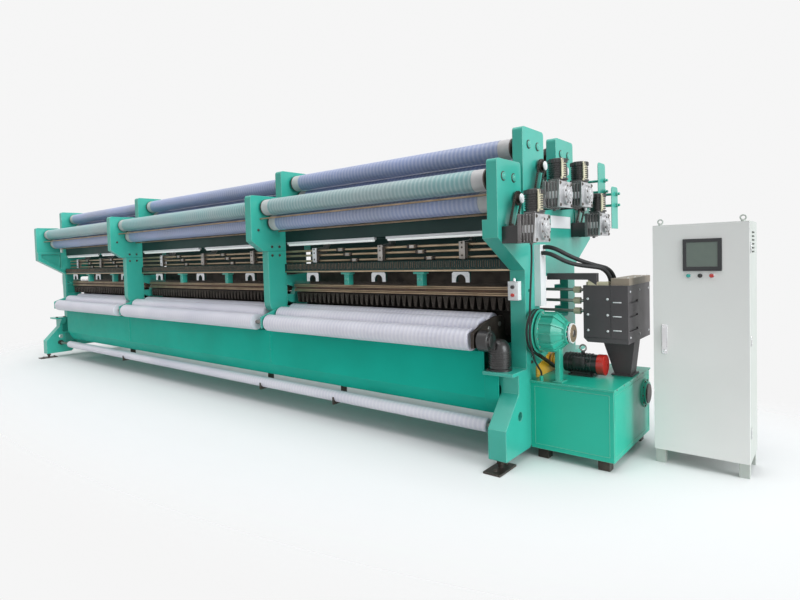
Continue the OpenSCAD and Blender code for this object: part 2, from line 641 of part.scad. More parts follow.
module screen_panel() color([0.2, 0.2, 0.2]) {
  difference() {
    box([scr[0], cab_y - 12, scr[1]], [scr[2], cab_y, scr[3]]);
    box([scr[0] + 22, cab_y - 13, scr[1] + 28], [scr[2] - 22, cab_y - 8, scr[3] - 22]);
  }
}

module door_handle() color("gainsboro") {
  box([handle_x - 14, cab_y - 16, handle_z - 18], [handle_x + 14, cab_y - 5, handle_z + 130]);
  ycyl(handle_x, cab_y - 8, cab_y + door_t - 2, handle_z, 9);
}

module push_button(x, y, z) {
  ycyl(x, y - 15, y - 6, z, 13);
  ycyl(x, y - 6, y + 12, z, 8);
}

module start_button() color("lightseagreen") push_button(btn_x[0], cab_y, btn_z);

module mode_selector() color([0.1, 0.1, 0.1]) {
  ycyl(btn_x[1], cab_y - 8, cab_y - 1, btn_z, 14);
  box([btn_x[1] - 4, cab_y - 18, btn_z - 12], [btn_x[1] + 4, cab_y - 8, btn_z + 12]);
  ycyl(btn_x[1], cab_y - 1, cab_y + 12, btn_z, 8);
}

module stop_button() color("firebrick") push_button(btn_x[2], cab_y, btn_z);

st_x = xr - 72;

module station_start() color([0.15, 0.15, 0.15]) push_button(st_x, -post_y - 56, 1298);

module station_stop() color("red") push_button(st_x, -post_y - 56, 1238);

// sheet guards outside the rear chains on stand-off bolts
module chain_guards() color("mediumaquamarine") {
  yz_plate(xr + 90, xr + 96, finger(arm_reach - 220, arm_reach - 30, 2010, 2330));
  for (z = [2050, 2150]) xcyl(xr, xr + 90, [arm_reach - 70, z], 12);
  yz_plate(xr + 150, xr + 156, finger(arm_reach - 185, arm_reach - 15, 1740, 2110));
  for (z = [1780, 1900]) xcyl(xr, xr + 150, [arm_reach - 70, z], 12);
  for (z = [2050, 2150]) xcyl(xr + 96, xr + 108, [arm_reach - 70, z], 18);
  for (z = [1780, 1900]) xcyl(xr + 156, xr + 168, [arm_reach - 70, z], 18);
}

// push-button station on the post, wiring duct and bare cover plate on the drive end, box on the far end
module wiring_boxes() color("white") {
  difference() {
    box([xr - 112, -post_y - 56, 1198], [xr - 32, -post_y, 1340]);
    for (z = [1238, 1298]) ycyl(st_x, -post_y - 57, -post_y - 20, z, 8 + fit);
  }
  box([xr, -340, 1140], [xr + duct_t, -240, 1610]);
  box([xr, -15, 1745], [xr + 6, 410, 1845]);
  box([xl - box_l_t, -480, 1230], [xl, -350, 1400]);
}

// tube swept along the route points, eight-point rings square to the route
function unit(v) = v / norm(v);
function tangent(p, i) = i == 0 ? unit(p[1] - p[0]) :
  i == len(p) - 1 ? unit(p[i] - p[i - 1]) : unit(unit(p[i] - p[i - 1]) + unit(p[i + 1] - p[i]));
side_v = unit([5, -6.5, 0]);
function ring(c, t, r, n) = let (u = unit(side_v - t * (side_v * t)), v = cross(t, u))
  [for (k = [0:n - 1]) c + r * (cos(360 * k / n) * u + sin(360 * k / n) * v)];

module tube_along(pts, r) {
  n = 10;
  m = len(pts);
  rings = [for (i = [0:m - 1]) each ring(pts[i], tangent(pts, i), r, n)];
  faces = concat([[for (k = [n - 1:-1:0]) k]],
    [for (i = [0:m - 2]) for (k = [0:n - 1])
      [i * n + k, i * n + (k + 1) % n, (i + 1) * n + (k + 1) % n, (i + 1) * n + k]],
    [[for (k = [0:n - 1]) (m - 1) * n + k]]);
  translate([xr, 0, 0]) polyhedron(points = rings, faces = [for (f = faces) [for (k = [len(f) - 1:-1:0]) f[k]]]);
}

module power_hose_1() color([0.08, 0.08, 0.08]) tube_along(hose_1_pts, hose_r);

module power_hose_2() color([0.08, 0.08, 0.08]) tube_along(hose_2_pts, hose_r);

module unit_cable() color([0.08, 0.08, 0.08]) tube_along(cable_pts, cable_r);

right_end_frame();
left_end_frame();
middle_frames();
bed_beam();
bed_panel();
upper_beam();
lamp_strips();
yarn_comb();
needle_bed();
needle_bar();
guide_swing();
guide_bar_1();
guide_bar_2();
guide_bar_3();
push_rod_1();
push_rod_2();
push_rod_3();
feed_roller_1();
feed_roller_2();
feed_roller_3();
feed_roller_4();
feed_roller_5();
feed_roller_6();
feed_roller_7();
feed_roller_8();
drive_wheel_1();
drive_wheel_2();
drive_wheel_3();
drive_wheel_4();
feed_chains();
feed_reducers();
feed_motors();
takedown_roller_1();
takedown_roller_2();
takedown_roller_3();
takedown_gearmotor();
cloth_roller();
roller_brackets();
levelling_feet();
oil_tank();
main_motor();
motor_pulley();
main_pulley();
drive_belts();
clutch_housing();
pattern_box();
cabinet_body();
cabinet_door();
screen_panel();
door_handle();
start_button();
mode_selector();
stop_button();
station_start();
station_stop();
chain_guards();
wiring_boxes();
power_hose_1();
power_hose_2();
unit_cable();
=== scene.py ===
# %% [markdown]
# A warp knitting machine about ten metres long: four green cast frames carry eight feed rollers, the
# knitting bars lie between them, and three take-down rollers pull the net off at the front.
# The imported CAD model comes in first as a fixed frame. Nothing in it is moved here: it gets finishes,
# and the small pieces that the workshop bolts on are built around it.

# %% load the frame
import math
import bmesh
import bpy
from mathutils import Matrix, Vector


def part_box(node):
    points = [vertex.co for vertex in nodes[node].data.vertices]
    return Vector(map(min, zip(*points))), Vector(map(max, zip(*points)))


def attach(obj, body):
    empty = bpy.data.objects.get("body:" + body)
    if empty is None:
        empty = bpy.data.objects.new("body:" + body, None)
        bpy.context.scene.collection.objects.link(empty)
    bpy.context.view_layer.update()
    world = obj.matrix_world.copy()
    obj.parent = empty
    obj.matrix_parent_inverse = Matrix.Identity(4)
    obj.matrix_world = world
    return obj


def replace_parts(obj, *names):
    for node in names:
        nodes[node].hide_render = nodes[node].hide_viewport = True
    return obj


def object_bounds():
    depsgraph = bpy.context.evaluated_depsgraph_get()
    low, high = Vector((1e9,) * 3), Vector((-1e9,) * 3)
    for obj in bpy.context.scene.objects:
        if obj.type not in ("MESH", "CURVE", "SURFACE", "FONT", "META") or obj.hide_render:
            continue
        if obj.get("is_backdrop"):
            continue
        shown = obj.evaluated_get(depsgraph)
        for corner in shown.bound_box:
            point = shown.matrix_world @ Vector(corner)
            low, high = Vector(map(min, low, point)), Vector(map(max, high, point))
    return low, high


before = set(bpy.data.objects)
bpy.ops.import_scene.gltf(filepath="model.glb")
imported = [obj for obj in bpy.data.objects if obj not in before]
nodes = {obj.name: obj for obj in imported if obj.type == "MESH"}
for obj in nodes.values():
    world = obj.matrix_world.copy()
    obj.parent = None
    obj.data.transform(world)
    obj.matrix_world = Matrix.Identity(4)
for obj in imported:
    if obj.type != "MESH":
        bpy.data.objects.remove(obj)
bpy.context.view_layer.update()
scene = bpy.context.scene
print("frame loaded:", len(nodes), "nodes")

# %% [markdown]
# Places typed in one by one would be wrong as soon as the CAD model changes. So the ends of the machine, the
# bays between its frames and the middle of a shaft are asked from the frame, and places at the drive end are
# counted from there. Everything is in metres.

# %% places on the frame
def middle(node):
    low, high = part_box(node)
    return (low + high) / 2


def at(x, y, z):
    return (drive_x + x, y, z)


drive_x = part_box("right_end_frame")[1].x
far_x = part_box("left_end_frame")[0].x
beam_low, beam_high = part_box("upper_beam")
inner_low, inner_high = (round(corner.x, 3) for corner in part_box("middle_frames"))
frame_thick = 0.090
bays = [(round(beam_low.x, 3), inner_low),
        (round(inner_low + frame_thick, 3), round(inner_high - frame_thick, 3)),
        (inner_high, round(beam_high.x, 3))]
middle_frame_xs = (inner_low + frame_thick / 2, inner_high - frame_thick / 2)
main_shaft, motor_shaft = middle("main_pulley"), middle("motor_pulley")
print("drive end at", round(drive_x, 3), "far end at", round(far_x, 3), "bays", bays)

# %% [markdown]
# The camera stands at the front right corner at eye height with a wide lens, as the photographer did.
# Its place, turn and small shift were found by laying the frame's corners over the picture.
# A camera looks along its own -Z, so the three columns of its matrix are right, up and backwards.

# %% camera
eye = Vector((5.4392, -4.4152, 1.5587))
yaw, pitch, roll = (math.radians(angle) for angle in (40.9011, -2.2059, -1.7663))
ahead = Vector((-math.sin(yaw) * math.cos(pitch), math.cos(yaw) * math.cos(pitch), math.sin(pitch)))
level = Vector((math.cos(yaw), math.sin(yaw), 0))
over = level.cross(ahead)
right = level * math.cos(roll) + over * math.sin(roll)
up = -level * math.sin(roll) + over * math.cos(roll)
camera = bpy.data.objects.new("camera", bpy.data.cameras.new("camera"))
scene.collection.objects.link(camera)
camera.matrix_world = Matrix.Translation(eye) @ Matrix((right, up, -ahead)).transposed().to_4x4()
camera.data.sensor_width = 36
camera.data.lens = 24.95
camera.data.shift_x = 0.04725
camera.data.shift_y = -0.0274
camera.data.clip_end = 200
scene.camera = camera
print("camera at", [round(v, 2) for v in camera.location])

# %% [markdown]
# A material is a small network of nodes. Three helpers keep the network readable: one fills in a node's
# sockets or joins them to another node, one adds a node, and one mixes two colours. Sockets of the same name
# are known by number.

# %% node helpers
mix_first, mix_second, mix_result = 6, 7, 2


def wire(tree, node, sockets):
    for key, value in sockets.items():
        if isinstance(value, bpy.types.NodeSocket):
            tree.links.new(value, node.inputs[key])
        else:
            node.inputs[key].default_value = value


def add(tree, kind, numbered=(), operation=None, **named):
    node = tree.nodes.new("ShaderNode" + kind)
    if operation:
        node.operation = operation
    wire(tree, node, dict(enumerate(numbered)))
    wire(tree, node, {socket.replace("_", " "): value for socket, value in named.items()})
    return node


def mixed(tree, factor, first, second):
    mix = add(tree, "Mix")
    mix.data_type = "RGBA"
    wire(tree, mix, {"Factor": factor, mix_first: first, mix_second: second})
    return mix.outputs[mix_result]


print("node helpers ready")

# %% [markdown]
# Every finish is one node recipe with different numbers. A slow noise drifts the colour, as sprayed paint
# and handled metal do, a fine noise gives the grain as bump, and a third one changes the gloss.
# Where an edge is sharp the Bevel node's normal leaves the true one, and that difference marks worn edges.

# %% finish recipe
gloss_spread = 0.08


def finish(name, colour, shade, rough, grain=220.0, bump=0.15, metal=0.0, coat=0.0, worn=None, edge=0.003,
           drift=1.6, spec=0.5):
    made = bpy.data.materials.new(name)
    made.use_nodes = True
    tree = made.node_tree
    spot = add(tree, "TexCoord").outputs["Object"]
    cloud = add(tree, "TexNoise", Vector=spot, Scale=drift, Detail=6)
    fine = add(tree, "TexNoise", Vector=spot, Scale=grain, Detail=3)
    smear = add(tree, "TexNoise", Vector=spot, Scale=9.0)
    span = add(tree, "MapRange", Value=cloud.outputs["Fac"], From_Min=0.35, From_Max=0.62)
    paint = mixed(tree, span.outputs["Result"], (*shade, 1), (*colour, 1))
    gloss = add(tree, "MapRange", Value=smear.outputs["Fac"], To_Min=max(0.05, rough - gloss_spread),
                To_Max=min(1.0, rough + gloss_spread))
    rounded = add(tree, "Bevel", Radius=edge)
    rounded.samples = 4
    skin = add(tree, "Bump", Strength=bump, Distance=0.002, Height=fine.outputs["Fac"],
               Normal=rounded.outputs["Normal"])
    if worn:
        true_normal = add(tree, "NewGeometry").outputs["Normal"]
        dot = add(tree, "VectorMath", (rounded.outputs["Normal"], true_normal), "DOT_PRODUCT")
        rub = add(tree, "MapRange", Value=dot.outputs["Value"], From_Min=0.995, From_Max=0.80, To_Max=0.75)
        paint = mixed(tree, rub.outputs["Result"], paint, (*worn, 1))
    wire(tree, tree.nodes["Principled BSDF"], {
        "Base Color": paint, "Roughness": gloss.outputs["Result"], "Normal": skin.outputs["Normal"],
        "Metallic": metal, "Coat Weight": coat, "Coat Roughness": 0.12, "Specular IOR Level": spec})
    return made


print("finish recipe ready")

# %% [markdown]
# The machine's paint is a teal green enamel. It differs a little from piece to piece: the bed is deeper than
# the frames and the tank is yellower. The beams inside are nearly black: dark green paint darkened further as
# painted shade.
# The steel of the needles and screws is oiled and dark, and the lead is darker still.

# %% paint and steel
green = finish("green_enamel", (0.042, 0.42, 0.335), (0.032, 0.37, 0.285), 0.34, 160, 0.10, coat=0.25,
               worn=(0.30, 0.70, 0.58), edge=0.007, spec=0.45)
deep_green = finish("deep_green_enamel", (0.004, 0.42, 0.315), (0.003, 0.36, 0.265), 0.40, 160, 0.06,
                    worn=(0.06, 0.55, 0.42), edge=0.004, spec=0.12)
tank_green = finish("tank_enamel", (0.012, 0.45, 0.315), (0.008, 0.39, 0.27), 0.36, 140, 0.12, coat=0.1,
                    worn=(0.35, 0.70, 0.56), edge=0.007, spec=0.35)
# Nearly black: the inner beams' dark green paint with painted shade mixed into it.
beam_green = finish("beam_enamel", (0.016, 0.046, 0.040), (0.010, 0.030, 0.027), 0.42, 160, 0.1,
                    worn=(0.05, 0.14, 0.11), spec=0.25)
fin_green = finish("casting_enamel", (0.030, 0.42, 0.30), (0.015, 0.30, 0.21), 0.36, 120, 0.25, coat=0.3,
                   worn=(0.20, 0.58, 0.44), drift=5)
steel = finish("oiled_steel", (0.42, 0.40, 0.38), (0.26, 0.24, 0.22), 0.38, 300, 0.12, metal=0.9,
               worn=(0.75, 0.73, 0.70), edge=0.002, drift=6)
dark_steel = finish("dark_steel", (0.075, 0.060, 0.050), (0.030, 0.024, 0.020), 0.42, 260, 0.2, metal=0.5,
                    worn=(0.36, 0.32, 0.28), edge=0.002, drift=7, spec=0.35)
lead = finish("lead_dark", (0.034, 0.028, 0.024), (0.014, 0.012, 0.010), 0.5, 240, 0.25, metal=0.2,
              worn=(0.16, 0.13, 0.10), edge=0.002, drift=9, spec=0.25)
print("paint and steel made:", len(bpy.data.materials))

# %% [markdown]
# The drive end is a mix of castings, brass, rubber and small painted parts. Cast aluminium is a dull metal
# with coarse grain, and rubber is nearly black and rough.

# %% castings, brass and rubber
aluminium = finish("cast_aluminium", (0.62, 0.62, 0.63), (0.42, 0.42, 0.43), 0.42, 170, 0.35, metal=0.7,
                   worn=(0.85, 0.85, 0.85), drift=8)
cast_dark = finish("cast_dark", (0.20, 0.19, 0.19), (0.085, 0.08, 0.08), 0.40, 170, 0.35, metal=0.7,
                   worn=(0.62, 0.60, 0.58), drift=8)
motor_black = finish("motor_black", (0.022, 0.020, 0.020), (0.012, 0.011, 0.011), 0.34, 220, 0.15, coat=0.25,
                     worn=(0.16, 0.15, 0.14), edge=0.002, drift=9)
tan = finish("bearing_tan", (0.36, 0.25, 0.16), (0.22, 0.15, 0.09), 0.45, 200, 0.2, metal=0.2,
             worn=(0.6, 0.5, 0.38), drift=10)
brass = finish("bar_brass", (0.50, 0.38, 0.25), (0.34, 0.25, 0.16), 0.32, 260, 0.08, metal=0.65,
               worn=(0.8, 0.68, 0.5), drift=5)
brown = finish("needle_brown", (0.20, 0.11, 0.065), (0.11, 0.062, 0.04), 0.42, 220, 0.2, metal=0.35,
               worn=(0.5, 0.36, 0.26), drift=6)
disc_brown = finish("disc_brown", (0.060, 0.034, 0.026), (0.035, 0.020, 0.016), 0.40, 220, 0.2,
                    worn=(0.20, 0.14, 0.11), drift=8)
cream = finish("rod_cream", (0.72, 0.66, 0.47), (0.58, 0.52, 0.36), 0.45, 160, 0.1, worn=(0.8, 0.76, 0.6))
rubber = finish("belt_rubber", (0.014, 0.014, 0.014), (0.008, 0.008, 0.008), 0.55, 400, 0.3, drift=12)
yellow = finish("pulley_yellow", (0.74, 0.42, 0.03), (0.60, 0.32, 0.02), 0.38, 180, 0.1, coat=0.3,
                worn=(0.8, 0.7, 0.4), edge=0.002)
box_grey = finish("box_grey", (0.082, 0.074, 0.078), (0.064, 0.058, 0.061), 0.46, 260, 0.18,
                  worn=(0.24, 0.23, 0.23), edge=0.002, spec=0.35)
lid_tan = finish("lid_tan", (0.33, 0.27, 0.21), (0.26, 0.21, 0.16), 0.5, 220, 0.15, worn=(0.5, 0.44, 0.36))
print("finishes so far:", len(bpy.data.materials))

# %% [markdown]
# The cabinet is powder-coated sheet with a fine even peel. Its body is a greyer copy of the white door's
# finish, which is painted shade. Its screen, handle and buttons are glass, chrome and glossy plastic. The
# lamp strips glow a little, which is an emission colour on the same recipe.

# %% sheet, plastic and glass
sheet_white = finish("cabinet_white", (0.82, 0.81, 0.785), (0.77, 0.76, 0.735), 0.42, 420, 0.10, coat=0.1,
                     worn=(0.88, 0.88, 0.87), edge=0.004, drift=1.0)
# The body's grey is painted shade: the door's white finish, darkened to stand for the shaded side.
sheet_grey_painted_shade = finish("cabinet_grey_painted_shade", (0.52, 0.55, 0.51), (0.46, 0.49, 0.45), 0.42, 420, 0.10, coat=0.1,
                    worn=(0.74, 0.75, 0.73), edge=0.004, drift=1.0)
plastic_white = finish("plastic_white", (0.82, 0.82, 0.82), (0.74, 0.74, 0.75), 0.40, 300, 0.08, drift=4)
lamp = finish("lamp_diffuser", (0.90, 0.92, 0.90), (0.84, 0.87, 0.85), 0.35, 300, 0.05, drift=3)
wire(lamp.node_tree, lamp.node_tree.nodes["Principled BSDF"],
     {"Emission Color": (0.95, 1.0, 0.97, 1), "Emission Strength": 0.25})
chrome = finish("handle_chrome", (0.72, 0.72, 0.73), (0.60, 0.60, 0.62), 0.18, 400, 0.03, metal=1.0)
bezel = finish("screen_bezel", (0.030, 0.032, 0.034), (0.020, 0.021, 0.023), 0.32, 380, 0.1,
               worn=(0.10, 0.1, 0.1), edge=0.002)
glass = finish("screen_glass", (0.13, 0.17, 0.14), (0.10, 0.135, 0.115), 0.14, 60, 0.0, coat=0.5, drift=3)
teal = finish("button_teal", (0.02, 0.40, 0.34), (0.015, 0.32, 0.27), 0.25, 300, 0.03, coat=0.5, drift=20)
red = finish("button_red", (0.62, 0.03, 0.02), (0.50, 0.02, 0.015), 0.28, 300, 0.04, coat=0.4, drift=14)
print("finishes made:", len(bpy.data.materials))

# %% [markdown]
# The rollers are wound with a glossy grip tape. Each turn shows as a soft ring: a band wave along X leaves
# the joint between two turns darker, mixes a pale painted highlight onto the top of each turn and dents the
# edge. A real ribbon would cost far more faces for the same look, so the turns are added to the common
# recipe. The upper rollers on the low arms have a greener tape and the others a bluer one.

# %% wound tape
turn_pitch = 0.040
wave_scale = 0.314159 / turn_pitch


def tape(name, colour, shade, crown_highlight):
    made = finish(name, colour, shade, 0.42, 520, 0.25, coat=0.35, drift=1.1, spec=0.8)
    tree = made.node_tree
    shader = tree.nodes["Principled BSDF"]
    paint, grain = (shader.inputs[socket].links[0].from_socket for socket in ("Base Color", "Normal"))
    spot = add(tree, "TexCoord").outputs["Object"]
    turns = add(tree, "TexWave", Vector=spot, Scale=wave_scale, Distortion=0.8, Detail=2)
    turns.bands_direction = "X"
    crown_highlight_mix = add(tree, "MapRange", Value=turns.outputs["Fac"], From_Min=0.3, To_Max=0.30)
    dent = add(tree, "Bump", Strength=0.25, Distance=0.004, Height=turns.outputs["Fac"], Normal=grain)
    # The pale colour mixed in on each turn is a painted highlight, not a colour of the tape.
    wire(tree, shader, {"Base Color": mixed(tree, crown_highlight_mix.outputs["Result"], paint, (*crown_highlight, 1)),
                        "Normal": dent.outputs["Normal"], "Coat Roughness": 0.35})
    return made


# Each tape's last colour is the painted highlight on its turns.
tape_blue = tape("tape_blue", (0.25, 0.31, 0.54), (0.24, 0.28, 0.42), (0.62, 0.63, 0.70))
tape_green = tape("tape_green", (0.15, 0.37, 0.38), (0.26, 0.36, 0.37), (0.60, 0.69, 0.67))
tape_pale = tape("tape_pale", (0.70, 0.68, 0.75), (0.58, 0.57, 0.66), (0.86, 0.84, 0.85))
bare_band = finish("bare_band", (0.62, 0.60, 0.60), (0.52, 0.50, 0.50), 0.4, 300, 0.15, drift=9)
print("tape turns are", turn_pitch, "m wide")

# %% [markdown]
# Now the CAD pieces are dressed. Most take one finish. Where a piece is made of several things, each face is
# sorted by where it lies. Cutting the mesh apart would do it too, but here only the material number of a face
# changes, so the shape stays exactly as it was packed.

# %% dress the plain pieces
def dress(name, finishes, sort=None):
    mesh = nodes[name].data
    mesh.materials.clear()
    for coat in finishes:
        mesh.materials.append(coat)
    if sort:
        for face in mesh.polygons:
            face.material_index = int(sort(face.center, face.normal))


plain = {
    green: ("right_end_frame", "left_end_frame", "middle_frames", "chain_guards"),
    deep_green: ("bed_panel", "bed_beam"),
    beam_green: ("upper_beam", "yarn_comb"),
    fin_green: ("clutch_housing",),
    lead: ("needle_bed",),
    brown: ("needle_bar",),
    steel: ("guide_swing",),
    brass: ("guide_bar_1", "guide_bar_2", "guide_bar_3"),
    dark_steel: ("levelling_feet", "feed_chains", "drive_wheel_1", "drive_wheel_2", "drive_wheel_3",
                 "drive_wheel_4"),
    rubber: ("drive_belts", "power_hose_1", "power_hose_2", "unit_cable"),
    motor_black: ("takedown_gearmotor", "mode_selector", "station_start"),
    sheet_grey_painted_shade: ("cabinet_body",),
    sheet_white: ("cabinet_door",),
    chrome: ("door_handle",),
    teal: ("start_button",),
    red: ("stop_button", "station_stop"),
    plastic_white: ("wiring_boxes",),
}
for coat, names in plain.items():
    for name in names:
        dress(name, [coat])
print("dressed", sum(len(names) for names in plain.values()), "plain pieces")

# %% [markdown]
# Pieces of two or three finishes come next: the reducers' bright covers, the tank's feet, dark as painted
# shade, the cream sleeves on the push rods, the red fan cover of the motor and the tan lid of the pattern
# box.
# A rule for each says on which side of a plane, or how far from a shaft, a finish begins.

# %% dress the sorted pieces
def from_axis(c, axis):
    return math.hypot(c.y - axis.y, c.z - axis.z)


def pulley_part(c, n):
    if from_axis(c, main_shaft) < 0.03:
        return 1
    return 2 if c.x > drive_x + 0.3 else 0


def bracket_part(c, n):
    if c.z > 1.6:
        return 0
    return 1 if c.z > 0.5 and c.x < drive_x - 0.3 else 2


def box_part(c, n):
    if c.z > 1.2885 and c.x > drive_x + 0.483:
        return 1
    return 2 if 1.2885 < c.z < 1.3141 and c.y < -0.029 else 0


dress("feed_reducers", [cast_dark, aluminium], lambda c, n: c.x > drive_x + 0.2385)
# The tank's feet get dark steel as painted shade for the shadow under the tank.
dress("oil_tank", [tank_green, dark_steel], lambda c, n: c.z < 0.075 and n.z < 0.5 and abs(c.y) < 0.46)
for i in range(1, 4):
    dress(f"push_rod_{i}", [steel, cream], lambda c, n: drive_x + 0.18 < c.x < drive_x + 0.26)
dress("lamp_strips", [plastic_white, lamp], lambda c, n: c.z < 1.7125)
dress("roller_brackets", [tan, green, dark_steel], bracket_part)
dress("feed_motors", [motor_black, cream],
      lambda c, n: abs(n.z) < 0.5 and abs(c.x - drive_x - 0.243) < 0.0062)
dress("main_motor", [motor_black, red], lambda c, n: c.x > drive_x + 0.3801)
dress("motor_pulley", [yellow, steel], lambda c, n: from_axis(c, motor_shaft) < 0.02)
dress("main_pulley", [fin_green, steel, plastic_white], pulley_part)
dress("pattern_box", [box_grey, lid_tan, cream], box_part)
dress("screen_panel", [bezel, glass], lambda c, n: n.y < -0.9 and c.y > -0.0445)
print("pieces dressed so far:", sum(1 for o in nodes.values() if o.data.materials))

# %% [markdown]
# A feed roller is a thin shaft with three wound drums. Each drum has a brown disc at both ends and a bare
# band beside it where the tape stops. The take-down rollers and the cloth roller are wound from end to end.

# %% dress the rollers
drum_gap, disc_wide, band_wide = 0.030, 0.013, 0.111
tape_radius = 0.0805


def feed_roller_part(axis):
    def part(c, n):
        for low, high in bays:
            inside = min(c.x - low, high - c.x) - drum_gap
            if inside > -0.001:
                if inside < disc_wide:
                    return 2
                return 1 if from_axis(c, axis) < tape_radius and inside < band_wide else 0
        return 4 if c.x > drive_x + 0.0515 else 3
    return part


for i in range(1, 9):
    wound = tape_green if i in (1, 7) else tape_blue
    dress(f"feed_roller_{i}", [wound, bare_band, disc_brown, dark_steel, plastic_white],
          feed_roller_part(middle(f"feed_roller_{i}")))
for name in ("takedown_roller_1", "takedown_roller_2", "takedown_roller_3", "cloth_roller"):
    dress(name, [tape_pale, steel], lambda c, n, axis=middle(name): from_axis(c, axis) < 0.03)
print("dressed", sum(1 for o in nodes.values() if o.data.materials), "pieces of", len(nodes))

# %% [markdown]
# Two black hoses sag from the wiring duct to the pattern box and a thinner cable hangs from the front feed
# unit to the tank. Each is a curve close to the route of its CAD tube, with bends of about four diameters.
# A chain of bars would show corners, so the listed points, in millimetres from the drive end, are joined
# by a smooth curve, and the curve's round bevel gives the hose its thickness.

# %% hoses and cable
def smooth_route(points, steps):
    pts = [Vector(p) / 1000 + Vector((drive_x, 0, 0)) for p in points]
    out = []
    for k in range(len(pts) - 1):
        a, b = pts[max(k - 1, 0)], pts[k]
        c, d = pts[k + 1], pts[min(k + 2, len(pts) - 1)]
        for s in range(steps):
            t = s / steps
            out.append(0.5 * ((2 * b) + (c - a) * t + (2 * a - 5 * b + 4 * c - d) * t * t
                              + (3 * b - a - 3 * c + d) * t ** 3))
    return out + [pts[-1]]


def hose(name, node, points, radius, steps):
    route = smooth_route(points, steps)
    data = bpy.data.curves.new(name, "CURVE")
    data.dimensions = "3D"
    line = data.splines.new("POLY")
    line.points.add(len(route) - 1)
    for spot, p in zip(line.points, route):
        spot.co = (*p, 1)
    data.bevel_depth = radius
    data.bevel_resolution = 4
    data.use_fill_caps = True
    data.materials.append(rubber)
    piece = bpy.data.objects.new(name, data)
    scene.collection.objects.link(piece)
    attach(piece, "root")
    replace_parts(piece, node)


upper_points = [(50, -275, 1590), (92, -275, 1588), (134, -266, 1575), (172, -242, 1552), (210, -208, 1524),
                (252, -167, 1496), (299, -119, 1469), (350, -59, 1444), (404, 11, 1421), (422, 35, 1408),
                (438, 56, 1388), (450, 72, 1362), (457.5, 82, 1332), (460, 85, 1300)]
lower_points = [(50, -310, 1545), (90, -310, 1542), (130, -301, 1528), (168, -279, 1504), (206, -246, 1478),
                (250, -203, 1456), (298, -153, 1441), (344, -103, 1431), (390.5, -54, 1420),
                (410.5, -32, 1408), (428, -12, 1388), (441, 2.5, 1362), (449, 12, 1332), (452, 15, 1300)]
cable_points = [(137, -690, 1605), (137, -690, 1560), (136, -690, 1500), (132, -690, 1420), (127, -690, 1340),
                (121, -688, 1260), (115, -684, 1180), (108, -676, 1100), (102, -664, 1020), (96, -648, 940),
                (90, -612, 845), (85, -556, 763), (83, -510, 722), (82, -478, 695), (82, -455, 675),
                (82, -444, 665), (82, -435, 651), (82, -430, 627)]
hose("upper_hose", "power_hose_1", upper_points, 0.016, steps=3)
hose("lower_hose", "power_hose_2", lower_points, 0.016, steps=3)
hose("hanging_cable", "unit_cable", cable_points, 0.007, steps=2)

# %% [markdown]
# Small hardware is gathered in one mesh for each place, so a hundred bolts are one piece. Each could be an
# object of its own, but that makes a scene slow to open. The helpers add a chamfered block, a round bar, a
# stack of discs, a bolt or a cap screw to a mesh that is being built, or count out places on a circle.

# %% building helpers
to_right, to_left, to_front, upward = (1, 0, 0), (-1, 0, 0), (0, -1, 0), (0, 0, 1)


def block(bm, low, high, chamfer=0.002):
    size = Vector(high) - Vector(low)
    centre = (Vector(high) + Vector(low)) / 2
    made = bmesh.ops.create_cube(bm, size=1, matrix=Matrix.Translation(centre) @ Matrix.Diagonal((*size, 1)))
    edges = {e for v in made["verts"] for e in v.link_edges}
    if chamfer:
        bmesh.ops.bevel(bm, geom=list(edges), offset=min(chamfer, min(size) * 0.3), segments=2,
                        affect="EDGES", profile=0.6)


def bar(bm, start, end, radius, sides=20, taper=1.0):
    start, end = Vector(start), Vector(end)
    way = end - start
    spin = way.to_track_quat("Z", "Y").to_matrix().to_4x4()
    bmesh.ops.create_cone(bm, cap_ends=True, segments=sides, radius1=radius, radius2=radius * taper,
                          depth=way.length, matrix=Matrix.Translation((start + end) / 2) @ spin)


def stack(bm, spot, way, discs, scale=1):
    spot, way, foot = Vector(spot), Vector(way) * scale, 0
    for top, radius, sides, taper in discs:
        bar(bm, spot + way * foot, spot + way * top, radius * scale, sides, taper)
        foot = top


def bolt(bm, spot, way, radius):
    stack(bm, spot, way, [(0.25, 1.35, 20, 0.95), (1.0, 1.0, 6, 1.0), (1.12, 0.86, 6, 0.8)], radius)


def cap_screw(bm, spot, way, radius):
    stack(bm, spot, way, [(0.2, 1.5, 24, 0.96), (0.75, 1.0, 24, 0.94), (0.78, 0.55, 6, 1.0)], radius)


def circle(count, radius, shift=0.0):
    angles = [2 * math.pi * (k + shift) / count for k in range(count)]
    return [(radius * math.cos(a), radius * math.sin(a)) for a in angles]


print("building helpers ready")

# %% [markdown]
# Two more helpers make what a block or a bar can't. A prism joins an outline to its copy, as a cut plate has
# two faces and a rim. A turned shape is a profile of distance and radius swept round an axis, as on a lathe.
# The last helper turns a mesh into a piece, gives it its finish, smooths it except at sharp edges and fixes
# it to a body.

# %% plates, turned shapes and pieces
sharp = math.radians(35)


def prism(bm, front, back, caps=2):
    rings = [[bm.verts.new(p) for p in outline] for outline in (front, back)]
    faces = [bm.faces.new(ring) for ring in rings[:caps]]
    for k in range(len(front)):
        m = (k + 1) % len(front)
        faces.append(bm.faces.new((rings[0][k], rings[1][k], rings[1][m], rings[0][m])))
    bmesh.ops.recalc_face_normals(bm, faces=faces)


def plate_x(bm, outline, x0, x1):
    prism(bm, *([(x, y, z) for y, z in outline] for x in (x0, x1)))


def turned(bm, start, way, profile, sides=48):
    start, way = Vector(start), Vector(way)
    side = way.orthogonal().normalized()
    over = way.cross(side)
    rings = [[bm.verts.new(start + way * along + side * u + over * v) for u, v in circle(sides, radius)]
             for along, radius in profile]
    for a, b in zip(rings, rings[1:]):
        for k in range(sides):
            m = (k + 1) % sides
            bm.faces.new((a[k], a[m], b[m], b[k]))
    bm.faces.new(list(reversed(rings[0])))
    bm.faces.new(rings[-1])


